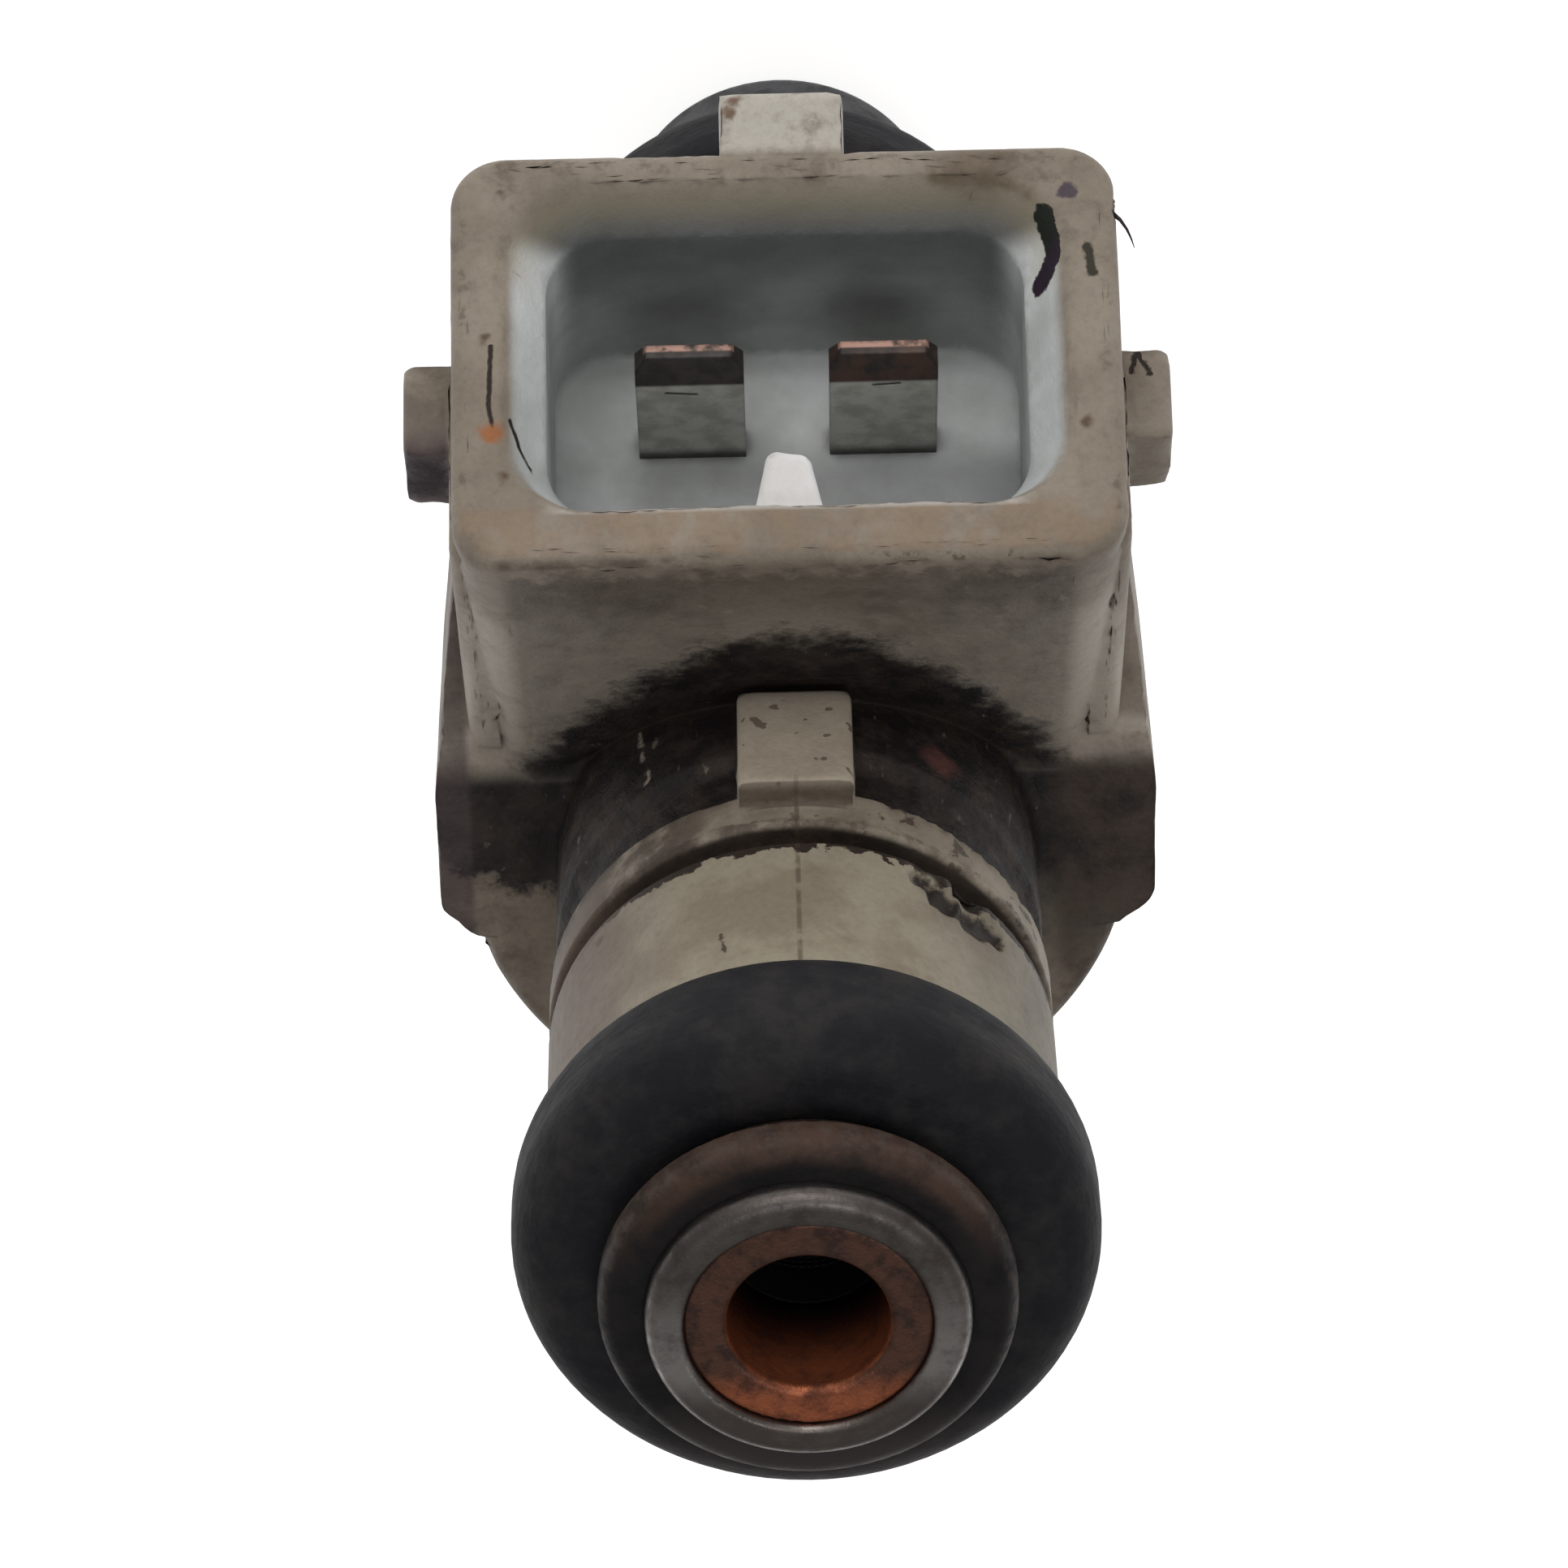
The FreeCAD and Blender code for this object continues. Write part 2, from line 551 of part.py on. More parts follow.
# ---------------------------------------------------------------- nozzle end
def make_backing_ring():
    """Plastic ring above the lower O-ring."""
    top_z = LOWER_ORING_Z + ORING_LENGTH / 2 + BACKING_THICKNESS
    bottom_z = top_z - BACKING_THICKNESS
    return turned([(ORING_INNER_R, top_z), (BACKING_R, top_z, EDGE_R),
                   (BACKING_R, bottom_z, SMALL_EDGE_R), (ORING_INNER_R, bottom_z)])


def make_nozzle_cap():
    """Plastic cap pressed on below the lower O-ring, open in the middle for the spray."""
    top_z = LOWER_ORING_Z - ORING_LENGTH / 2
    return turned([(ORING_INNER_R, top_z), (CAP_R, top_z, EDGE_R), (CAP_R, CAP_SHOULDER_Z, SOFT_EDGE_R),
                   (CAP_NOSE_R, CAP_SHOULDER_Z), (CAP_NOSE_R, NOZZLE_END_Z, NOSE_EDGE_R),
                   (CAP_BORE_R, NOZZLE_END_Z, SMALL_EDGE_R), (CAP_BORE_R, VALVE_BODY_BOTTOM_Z),
                   (ORING_INNER_R, VALVE_BODY_BOTTOM_Z)])


# ---------------------------------------------------------------- moulded body
def moulded_neck():
    """Neck with the clip groove and its collar, then the round body."""
    return turned([(0, NECK_TOP_Z), (NECK_R, NECK_TOP_Z, NECK_EDGE_R),
                   (NECK_R, GROOVE_TOP_Z, FINE_EDGE_R), (GROOVE_R, GROOVE_TOP_Z, CRISP_EDGE_R),
                   (GROOVE_R, GROOVE_BOTTOM_Z, CRISP_EDGE_R), (NECK_R, GROOVE_BOTTOM_Z, FINE_EDGE_R),
                   (NECK_R, COLLAR_BOTTOM_Z, FINE_EDGE_R), (RECESS_R, COLLAR_BOTTOM_Z - RECESS_CHAMFER),
                   (RECESS_R, STEP_TOP_Z), (STEP_R, STEP_TOP_Z - STEP_CHAMFER, EDGE_R),
                   (STEP_R, SHOULDER_Z, SOFT_EDGE_R), (BODY_R, SHOULDER_Z, WIDE_EDGE_R),
                   (BODY_R, BODY_FOOT_Z, SOFT_EDGE_R), (BODY_FOOT_R, BODY_FOOT_Z),
                   (BODY_FOOT_R, MOULDING_BOTTOM_Z, SOFT_EDGE_R),
                   (0, MOULDING_BOTTOM_Z)])


def moulded_ears():
    """Block that widens the body at both sides, under and beside the socket."""
    half = [(EAR_WAIST_X, EAR_BACK_Y, EDGE_R),
            (EAR_HALF_WIDTH, EAR_BACK_Y - EAR_CORNER_CUT, EAR_EDGE_R),
            (EAR_HALF_WIDTH, EAR_WAIST_Y, EAR_SHOULDER_R), (EAR_TIP_HALF_WIDTH, EAR_FRONT_Y, EAR_EDGE_R)]
    outline = [(V(x, y, EAR_BOTTOM_Z), r) for x, y, r in half]
    outline += [(V(-x, y, EAR_BOTTOM_Z), r) for x, y, r in reversed(half)]
    return Part.Face(rounded_wire(outline)).extrude(V(0, 0, SHOULDER_Z - EAR_BOTTOM_Z))


def moulded_key():
    """Small square pad on the neck, between the collar and the socket."""
    pad = Part.makeBox(KEY_WIDTH, KEY_ROOT, COLLAR_BOTTOM_Z - KEY_BOTTOM_Z + KEY_OVERLAP,
                       V(-KEY_WIDTH / 2, KEY_FACE_Y, KEY_BOTTOM_Z))
    front = [edge for edge in pad.Edges if abs(edge.CenterOfMass.y - KEY_FACE_Y) < NEAR_ENOUGH]
    return pad.makeFillet(EDGE_R, front)


def socket_shroud():
    """Shroud round the blades, tapering a little toward its root."""
    half = SHROUD_HEIGHT / 2
    root_half = half - SHROUD_DRAFT
    mouth = socket_outline(SHROUD_WIDTH, -half, half, SHROUD_CORNER_R, 0)
    root = socket_outline(SHROUD_ROOT_WIDTH, -root_half, root_half, SHROUD_CORNER_R, SHROUD_LENGTH)
    shroud = Part.makeLoft([mouth, root], True, True)
    rim = [edge for edge in shroud.Edges if socket_depth(edge.CenterOfMass) < NEAR_ENOUGH]
    return shroud.makeFillet(RIM_EDGE_R, rim)


def socket_depth(point):
    """How far a point lies inward of the rim."""
    return -(point - SOCKET_MOUTH).dot(SOCKET_OUT)


def socket_cavity():
    """The hollow that takes the plug: a flared mouth and a straight throat."""
    mouth = socket_outline(MOUTH_WIDTH, MOUTH_NEAR, MOUTH_FAR, MOUTH_CORNER_R, -NEAR_ENOUGH)
    throat = socket_outline(THROAT_WIDTH, THROAT_NEAR, THROAT_FAR, THROAT_CORNER_R, FLARE_DEPTH)
    floor = socket_outline(THROAT_WIDTH, THROAT_NEAR, THROAT_FAR, THROAT_CORNER_R, CAVITY_DEPTH)
    flare = Part.makeLoft([mouth, throat], True, True)
    return flare.fuse(Part.makeLoft([throat, floor], True, True))


def socket_key_rib():
    """Coding rib on the cavity's near wall, between the blades."""
    wall = MOUTH_NEAR - JOIN_OVERLAP
    top = THROAT_NEAR + RIB_HEIGHT
    outline = [(-RIB_BASE / 2, wall, 0), (RIB_BASE / 2, wall, 0),
               (RIB_TOP / 2, top, RIB_EDGE_R), (-RIB_TOP / 2, top, RIB_EDGE_R)]
    wire = rounded_wire([(socket_point(x, far, RIB_SETBACK), r) for x, far, r in outline])
    return Part.Face(wire).extrude(SOCKET_OUT * (RIB_SETBACK - CAVITY_DEPTH))


def socket_outside_ribs():
    """Latch lugs at both sides of the shroud and the tab on its far wall."""
    pieces = []
    root = SHROUD_ROOT_WIDTH / 2 - JOIN_OVERLAP
    for side in (-1, 1):
        outline = [(side * root, LUG_START, 0), (side * LUG_REACH, LUG_START, SOFT_EDGE_R),
                   (side * LUG_REACH, LUG_END, SOFT_EDGE_R), (side * root, LUG_END, 0)]
        wire = rounded_wire([(socket_point(x, -LUG_HEIGHT / 2, depth), r) for x, depth, r in outline])
        pieces.append(Part.Face(wire).extrude(SOCKET_FAR * LUG_HEIGHT))
    far = SHROUD_HEIGHT / 2
    outline = [(far - TAB_ROOT, TAB_SETBACK, 0), (far + TAB_HEIGHT, TAB_SETBACK, WIDE_EDGE_R),
               (far + TAB_HEIGHT, TAB_LENGTH - TAB_TAIL, WIDE_EDGE_R), (far - TAB_TAIL_ROOT, TAB_LENGTH, 0)]
    wire = rounded_wire([(socket_point(-TAB_WIDTH / 2, away, depth), r) for away, depth, r in outline])
    pieces.append(Part.Face(wire).extrude(V(TAB_WIDTH, 0, 0)))
    return pieces


def socket_cheeks():
    """Thin side webs that run from the shroud's near corners down to the body's ears."""
    webs = []
    near = -SHROUD_HEIGHT / 2
    top_corner = socket_point(0, near + CHEEK_RECESS, CHEEK_START)
    back_corner = V(0, CHEEK_BACK_Y, SHOULDER_Z + CHEEK_RISE)
    inner_corner = socket_point(0, 0, SHROUD_LENGTH)
    outline = [top_corner, back_corner, V(0, CHEEK_BACK_Y, EAR_BOTTOM_Z),
               inner_corner, socket_point(0, 0, CHEEK_START)]
    for side in (-1, 1):
        start = min(side * CHEEK_INNER, side * CHEEK_OUTER)
        wire = rounded_wire([(p + V(start, 0, 0), 0) for p in outline])
        web = Part.Face(wire).extrude(V(CHEEK_OUTER - CHEEK_INNER, 0, 0))
        corner_line = (top_corner + back_corner) / 2 + V(side * CHEEK_OUTER, 0, 0)
        outer_edges = [edge for edge in web.Edges if edge.CenterOfMass.isEqual(corner_line, NEAR_ENOUGH)]
        webs.append(web.makeFillet(CHEEK_EDGE_R, outer_edges))
    return webs


def make_overmold_body(terminals):
    """One moulding: neck, body, ears and socket, hollow where it holds the metal parts."""
    body = moulded_neck().fuse([moulded_ears(), moulded_key(), socket_shroud()]
                               + socket_cheeks() + socket_outside_ribs())
    body = body.cut(socket_cavity())
    rib = socket_key_rib()
    body = body.fuse(rib.common(socket_shroud()))
    hollow = ring(TUBE_R, 0, NECK_TOP_Z, MOULDING_BOTTOM_Z)
    magnet_space = ring(HOUSING_R, 0, HOUSING_TOP_Z, HOUSING_BOTTOM_Z)
    flange_space = ring(VALVE_FLANGE_R, 0, HOUSING_BOTTOM_Z, MOULDING_BOTTOM_Z)
    body = body.cut([hollow, magnet_space, flange_space] + terminals)
    return body.removeSplitter()


# ---------------------------------------------------------------- assembly
def build_nodes():
    """Every piece by its node name."""
    left = make_terminal(-1)
    right = make_terminal(1)
    return {
        "overmold_body": make_overmold_body([left, right]),
        "inlet_tube": make_inlet_tube(),
        "upper_oring": make_oring(0),
        "upper_oring_retainer": make_retainer(),
        "filter_collar": make_filter_collar(),
        "filter_frame": make_filter_frame(),
        "filter_mesh": make_filter_mesh(),
        "adjusting_sleeve": make_adjusting_sleeve(),
        "return_spring": make_return_spring(),
        "armature": make_armature(),
        "valve_needle": make_needle(),
        "valve_ball": make_ball(),
        "needle_guide": make_needle_guide(),
        "valve_seat": make_valve_seat(),
        "orifice_plate": make_orifice_plate(),
        "valve_body": make_valve_body(),
        "nonmagnetic_shell": make_shell(),
        "coil_housing": make_coil_housing(),
        "flux_washer": make_flux_washer(),
        "coil_bobbin": make_bobbin(),
        "coil_winding": make_winding(),
        "coil_lead_left": lead_route(-1),
        "coil_lead_right": lead_route(1),
        "terminal_left": left,
        "terminal_right": right,
        "lower_backing_ring": make_backing_ring(),
        "lower_oring": make_oring(LOWER_ORING_Z),
        "nozzle_cap": make_nozzle_cap(),
    }


def main():
    os.makedirs("parts", exist_ok=True)
    for name, shape in build_nodes().items():
        shape.exportStep("parts/" + name + ".step")


main()
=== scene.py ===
"""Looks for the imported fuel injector: a worn cream moulding, dusty rubber and dull metal."""
import json
import math

import bpy
import bmesh
from mathutils import Matrix, Vector, kdtree, noise
from mathutils.bvhtree import BVHTree


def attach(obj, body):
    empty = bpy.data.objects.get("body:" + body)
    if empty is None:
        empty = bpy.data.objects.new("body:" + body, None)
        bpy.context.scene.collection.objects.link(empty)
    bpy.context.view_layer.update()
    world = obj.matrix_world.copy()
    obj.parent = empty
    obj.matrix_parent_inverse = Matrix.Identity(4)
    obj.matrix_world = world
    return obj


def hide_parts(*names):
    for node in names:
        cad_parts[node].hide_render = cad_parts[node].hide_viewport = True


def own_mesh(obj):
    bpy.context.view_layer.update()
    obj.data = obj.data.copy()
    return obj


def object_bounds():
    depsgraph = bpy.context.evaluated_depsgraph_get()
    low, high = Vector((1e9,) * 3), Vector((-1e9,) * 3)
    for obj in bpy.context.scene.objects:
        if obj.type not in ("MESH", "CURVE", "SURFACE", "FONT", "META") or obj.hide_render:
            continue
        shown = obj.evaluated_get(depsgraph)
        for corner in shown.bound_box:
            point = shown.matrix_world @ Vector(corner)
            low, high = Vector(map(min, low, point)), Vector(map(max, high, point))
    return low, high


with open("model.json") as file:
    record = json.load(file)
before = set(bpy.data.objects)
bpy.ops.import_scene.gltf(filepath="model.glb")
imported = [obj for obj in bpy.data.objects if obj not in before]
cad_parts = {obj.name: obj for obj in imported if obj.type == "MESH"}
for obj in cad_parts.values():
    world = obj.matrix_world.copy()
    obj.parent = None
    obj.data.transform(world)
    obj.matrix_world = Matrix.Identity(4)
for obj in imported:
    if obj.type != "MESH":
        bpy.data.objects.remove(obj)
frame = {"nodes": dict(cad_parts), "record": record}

CAD_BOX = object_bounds()
NODES = frame["nodes"]
MM = 0.001

# ---------------------------------------------------------------- camera
VIEW_TILT = math.radians(33.0)  # between the injector's axis and the line of sight
VIEW_ROLL = math.radians(1.3)
VIEW_DISTANCE = 175.0 * MM
VIEW_LENS = 162.3
VIEW_SENSOR = 36.0
AIM_UP = 10.89 * MM
AIM_RIGHT = -0.55 * MM

# The socket's frame, in mm, as the CAD places it.
SOCKET_LEAN = math.radians(57.0)
SOCKET_MOUTH = Vector((0.0, -16.6, -14.5))
SOCKET_OUT = Vector((0.0, -math.sin(SOCKET_LEAN), math.cos(SOCKET_LEAN)))
SOCKET_FAR = Vector((0.0, -math.cos(SOCKET_LEAN), -math.sin(SOCKET_LEAN)))

# Studio light; places and sizes in metres.
ROOM_LIGHT = 0.36
ROOM_COLOUR = (1.0, 0.99, 0.975, 1.0)
LIGHT_AIM = (0.0, -0.008, -0.012)
KEY_PLACE, KEY_SIZE, KEY_POWER = (0.03, -0.37, 0.19), 0.26, 0.75
KEY_COLOUR = (1.0, 0.985, 0.96)
TOP_PLACE, TOP_SIZE, TOP_POWER = (-0.05, -0.04, 0.42), 0.20, 0.45
TOP_COLOUR = (0.97, 0.985, 1.0)
FLOOR_HALF = 0.9
FLOOR_GAP = 0.2 * MM
FLOOR_GLOW = 0.62

SMOOTH_BELOW = math.radians(32.0)  # edges with a sharper angle than this stay crisp
EDGE_SOFTNESS = 0.12  # mm, how far every edge is rounded in the shading

# The worn moulding's shape, in mm.
NECK_R = 6.55
GROOVE_WALLS = (-8.5, -7.1)
MESH_STEP = 0.42  # the longest edge of its mesh
SAME_POINT = 0.001  # points nearer than this are joined
REFINE_PASSES = 10
SHARP_EDGE = math.radians(50.0)  # edges with a sharper angle than this are worn
WEAR_REACH = 0.42
WEAR_DEPTH = 0.09
LEAST_WEAR = 0.15
WAVE_DEPTH = 0.02
WAVE_SHIFT = Vector((7.0, 0.0, 3.0))
TOUCHING = 0.12  # faces nearer than this to another piece stay as designed
CHIP_REACH = 0.6
CHIP_DEPTH = 0.3
CRUST_HEIGHT = 0.05
CRUST_LEAST = 0.35
CRUST_Z = (-19.0, -10.2)
CRUST_SIDE = 6.8
CRUST_FAR = -5.4
PAD_CLEAR_SIDE, PAD_CLEAR_Y = 1.8, -6.6  # no crust on the key pad
WHISKER_SIDES = 6
WHISKER_RADIUS = 0.07
WHISKER_TAPER = 0.85
WHISKER_FLATNESS = 0.5


def tone(red, green, blue):
    """A display colour as the linear colour that shaders take."""
    def linear(level):
        part = level / 255.0
        return part / 12.92 if part <= 0.04045 else ((part + 0.055) / 1.055) ** 2.4
    return (linear(red), linear(green), linear(blue), 1.0)


def make_camera():
    toward = Vector((0.0, -math.sin(VIEW_TILT), math.cos(VIEW_TILT)))
    roll = Matrix.Rotation(-VIEW_ROLL, 3, toward)
    up = roll @ Vector((0.0, -math.cos(VIEW_TILT), -math.sin(VIEW_TILT)))
    right = roll @ Vector((-1.0, 0.0, 0.0))
    data = bpy.data.cameras.new("view")
    data.sensor_width = VIEW_SENSOR
    data.lens = VIEW_LENS
    data.clip_start = 5 * MM
    data.clip_end = 10.0
    camera = bpy.data.objects.new("view", data)
    bpy.context.scene.collection.objects.link(camera)
    place = Matrix((right, up, toward)).transposed().to_4x4()
    place.translation = toward * VIEW_DISTANCE + up * AIM_UP + right * AIM_RIGHT
    camera.matrix_world = place
    bpy.context.scene.camera = camera


# ---------------------------------------------------------------- light and floor
def make_light(name, place, aim, size, power, colour):
    data = bpy.data.lights.new(name, "AREA")
    data.shape = "DISK"
    data.size = size
    data.energy = power
    data.color = colour
    lamp = bpy.data.objects.new(name, data)
    bpy.context.scene.collection.objects.link(lamp)
    lamp.location = place
    lamp.rotation_mode = "QUATERNION"
    lamp.rotation_quaternion = (Vector(place) - Vector(aim)).to_track_quat("Z", "Y")


def make_world():
    """Soft light all round, and plain white where the camera looks past the floor."""
    world = bpy.data.worlds.new("studio")
    bpy.context.scene.world = world
    world.use_nodes = True
    tree = world.node_tree
    shade = tree.nodes["Background"]
    shade.inputs["Color"].default_value = ROOM_COLOUR
    shade.inputs["Strength"].default_value = ROOM_LIGHT
    backdrop = tree.nodes.new("ShaderNodeBackground")
    backdrop.inputs["Strength"].default_value = 1.0
    seen = tree.nodes.new("ShaderNodeLightPath")
    blend = tree.nodes.new("ShaderNodeMixShader")
    tree.links.new(seen.outputs["Is Camera Ray"], blend.inputs[0])
    tree.links.new(shade.outputs[0], blend.inputs[1])
    tree.links.new(backdrop.outputs[0], blend.inputs[2])
    tree.links.new(blend.outputs[0], tree.nodes["World Output"].inputs["Surface"])


def make_lights():
    make_light("key", KEY_PLACE, LIGHT_AIM, KEY_SIZE, KEY_POWER, KEY_COLOUR)
    make_light("top", TOP_PLACE, LIGHT_AIM, TOP_SIZE, TOP_POWER, TOP_COLOUR)


def make_floor():
    """A plain pale board under the nozzle."""
    low_z = CAD_BOX[0].z - FLOOR_GAP
    corners = [(side_x * FLOOR_HALF, side_y * FLOOR_HALF, low_z)
               for side_x, side_y in ((-1, -1), (1, -1), (1, 1), (-1, 1))]
    mesh = bpy.data.meshes.new("floor")
    mesh.from_pydata(corners, [], [(0, 1, 2, 3)])
    floor = bpy.data.objects.new("floor", mesh)
    bpy.context.scene.collection.objects.link(floor)
    paint = Paint("pale_board")
    tint = paint.mix(paint.noise(0.02, 3), tone(244, 244, 243), tone(250, 250, 250))
    paint.finish(tint, 0.8, specular=0.1)
    paint.shader.inputs["Emission Color"].default_value = (1.0, 1.0, 1.0, 1.0)
    paint.shader.inputs["Emission Strength"].default_value = FLOOR_GLOW
    mesh.materials.append(paint.material)


# ---------------------------------------------------------------- material tools
class Paint:
    """One material's nodes, made a call at a time. Places are the piece's own, in mm."""

    def __init__(self, name):
        self.material = bpy.data.materials.new(name)
        self.material.use_nodes = True
        self.tree = self.material.node_tree
        self.tree.nodes.clear()
        self.output = self.node("ShaderNodeOutputMaterial")
        self.shader = self.node("ShaderNodeBsdfPrincipled")
        self.tree.links.new(self.shader.outputs[0], self.output.inputs["Surface"])
        rounded = self.node("ShaderNodeBevel")
        rounded.samples = 4
        rounded.inputs["Radius"].default_value = EDGE_SOFTNESS * MM
        self.soft_edges = rounded.outputs[0]
        coords = self.node("ShaderNodeTexCoord")
        self.place = self.vector("SCALE", coords.outputs["Object"], scale=1.0 / MM)
        self.x, self.y, self.z = self.split(self.place)

    def node(self, kind):
        return self.tree.nodes.new(kind)

    def feed(self, value, socket):
        """Links a socket, or sets a plain value."""
        if isinstance(value, bpy.types.NodeSocket):
            self.tree.links.new(value, socket)
        else:
            socket.default_value = value

    def math(self, operation, *values, clamp=False):
        step = self.node("ShaderNodeMath")
        step.operation = operation
        step.use_clamp = clamp
        for value, socket in zip(values, step.inputs):
            self.feed(value, socket)
        return step.outputs[0]

    def vector(self, operation, *values, scale=None):
        step = self.node("ShaderNodeVectorMath")
        step.operation = operation
        for value, socket in zip(values, step.inputs):
            self.feed(value, socket)
        if scale is not None:
            self.feed(scale, step.inputs["Scale"])
        plain = operation in ("LENGTH", "DOT_PRODUCT", "DISTANCE")
        return step.outputs["Value" if plain else "Vector"]

    def split(self, vector):
        step = self.node("ShaderNodeSeparateXYZ")
        self.feed(vector, step.inputs[0])
        return step.outputs[0], step.outputs[1], step.outputs[2]

    def join(self, x, y, z):
        step = self.node("ShaderNodeCombineXYZ")
        for value, socket in zip((x, y, z), step.inputs):
            self.feed(value, socket)
        return step.outputs[0]

    def radius(self):
        """Distance from the injector's axis."""
        return self.math("SQRT", self.math("ADD", self.math("MULTIPLY", self.x, self.x),
                                           self.math("MULTIPLY", self.y, self.y)))

    def noise(self, scale, detail=3.0, rough=0.5, at=None, distort=0.0):
        step = self.node("ShaderNodeTexNoise")
        self.feed(at or self.place, step.inputs["Vector"])
        step.inputs["Scale"].default_value = scale
        step.inputs["Detail"].default_value = detail
        step.inputs["Roughness"].default_value = rough
        step.inputs["Distortion"].default_value = distort
        return step.outputs["Fac"]

    def warp(self, scale, amount, at=None):
        """Places shaken by noise, so that marks have ragged edges."""
        step = self.node("ShaderNodeTexNoise")
        self.feed(at or self.place, step.inputs["Vector"])
        step.inputs["Scale"].default_value = scale
        step.inputs["Detail"].default_value = 3.0
        shake = self.vector("SUBTRACT", step.outputs["Color"], (0.5, 0.5, 0.5))
        return self.vector("ADD", at or self.place, self.vector("SCALE", shake, scale=amount))

    def stretch(self, x, y, z):
        """Places scaled by a factor along each axis, for streaks and brush marks."""
        return self.vector("MULTIPLY", self.place, (x, y, z))

    def rise(self, value, low, high, top=1.0):
        """0 below low, top above high, smooth between; low may be the larger."""
        step = self.node("ShaderNodeMapRange")
        step.interpolation_type = "SMOOTHSTEP"
        self.feed(value, step.inputs["Value"])
        self.feed(low, step.inputs["From Min"])
        self.feed(high, step.inputs["From Max"])
        step.inputs["To Max"].default_value = top
        return step.outputs["Result"]

    def band(self, value, low, high, soft):
        """1 between low and high, fading over soft outside them."""
        return self.both(self.rise(value, low - soft, low), self.rise(value, high + soft, high))

    def both(self, *masks):
        result = masks[0]
        for mask in masks[1:]:
            result = self.math("MULTIPLY", result, mask)
        return result

    def either(self, *masks):
        result = masks[0]
        for mask in masks[1:]:
            result = self.math("MAXIMUM", result, mask)
        return result

    def part(self, mask, share):
        """The mask at a share of its strength."""
        return self.math("MULTIPLY", mask, share)

    def plus(self, value, other, times):
        """The value and a number of times the other."""
        return self.math("ADD", value, self.math("MULTIPLY", other, times))

    def but(self, mask, hole):
        """The mask without the hole."""
        return self.math("MULTIPLY", mask, self.math("SUBTRACT", 1.0, hole))

    def spot(self, centre, radius, soft, at=None):
        """A round mark about a point."""
        return self.rise(self.vector("DISTANCE", at or self.place, centre), radius + soft, radius - soft)

    def stroke(self, start, end, radius, soft, at=None):
        """A mark along a line between two points."""
        start, end = Vector(start), Vector(end)
        along = end - start
        offset = self.vector("SUBTRACT", at or self.place, tuple(start))
        share = self.math("DIVIDE", self.vector("DOT_PRODUCT", offset, tuple(along)),
                          along.length_squared, clamp=True)
        nearest = self.vector("SCALE", tuple(along), scale=share)
        return self.rise(self.vector("DISTANCE", offset, nearest), radius + soft, radius - soft)

    def line(self, points, radius, soft, at=None):
        """A mark along a bent line."""
        return self.either(*[self.stroke(start, end, radius, soft, at)
                             for start, end in zip(points, points[1:])])

    def spots(self, points, radius, soft, at=None):
        return self.either(*[self.spot(point, radius, soft, at) for point in points])

    def darken(self, colour, share, level):
        """The colour times level where share is 1."""
        return self.mix(share, colour, self.vector("SCALE", colour, scale=level))

    def mix(self, share, first, second):
        step = self.node("ShaderNodeMix")
        step.data_type = "RGBA"
        self.feed(share, step.inputs[0])
        self.feed(first, step.inputs[6])
        self.feed(second, step.inputs[7])
        return step.outputs[2]

    def facing(self):
        """The direction that the surface faces at rest."""
        return self.node("ShaderNodeTexCoord").outputs["Normal"]

    def crevice(self, reach, samples=8):
        """1 in corners and hollows, 0 on open faces."""
        step = self.node("ShaderNodeAmbientOcclusion")
        step.samples = samples
        step.inputs["Distance"].default_value = reach * MM
        return self.math("SUBTRACT", 1.0, step.outputs["AO"])

    def bump(self, height, depth, strength=1.0, under=None):
        """Bump from a height of 0 to 1 that stands for depth in mm."""
        under = under or self.soft_edges
        step = self.node("ShaderNodeBump")
        step.inputs["Strength"].default_value = strength
        step.inputs["Distance"].default_value = depth * MM
        self.feed(height, step.inputs["Height"])
        self.feed(under, step.inputs["Normal"])
        return step.outputs[0]

    def finish(self, colour, roughness, metallic=0.0, normal=None, specular=0.5):
        inputs = self.shader.inputs
        self.feed(colour, inputs["Base Color"])
        self.feed(roughness, inputs["Roughness"])
        self.feed(metallic, inputs["Metallic"])
        inputs["Specular IOR Level"].default_value = specular
        if normal is not None:
            self.feed(normal, inputs["Normal"])
        return self.material


# ---------------------------------------------------------------- marks on the moulding
# Places in mm. Left and right are as the socket's mouth is seen, with the key pad below.
BURN = ((-6.59, -18.44, -17.89), (-6.76, -18.08, -17.51), (-6.83, -17.73, -17.08),
        (-6.67, -17.36, -16.90), (-6.48, -17.02, -16.81))
PURPLE_SPOT = (-7.24, -18.99, -18.18)
OLIVE_MARK = ((-7.70, -18.13, -16.86), (-7.81, -17.71, -16.21))
RIM_CRACK = ((7.44, -16.75, -14.75), (7.48, -16.49, -14.33), (7.51, -15.98, -13.54),
             (7.42, -15.55, -12.9))
LIP_CRACK = ((6.97, -15.45, -13.25), (6.74, -14.86, -12.87), (6.47, -14.39, -12.62),
             (5.9, -14.1, -12.0), (5.3, -14.2, -11.75))
RUST_SPOT = (7.45, -15.44, -12.72)
BROWN_SPECKS = ((7.17, -14.73, -11.62), (7.64, -16.88, -14.93), (7.1, -19.0, -18.4),
                (-7.6, -15.3, -12.6))
LUG_CRACK = ((-9.30, -14.55, -16.50), (-8.97, -14.92, -17.05), (-8.80, -14.60, -16.55))
LUG_TIP = (9.69, -12.36, -15.77)
TAB_STAIN = ((1.18, -20.36, -20.86), (1.35, -20.18, -20.56))
FAR_LIP_STAIN = ((-3.9, -19.27, -18.65), (-5.2, -19.22, -18.6), (-6.2, -18.9, -18.2))
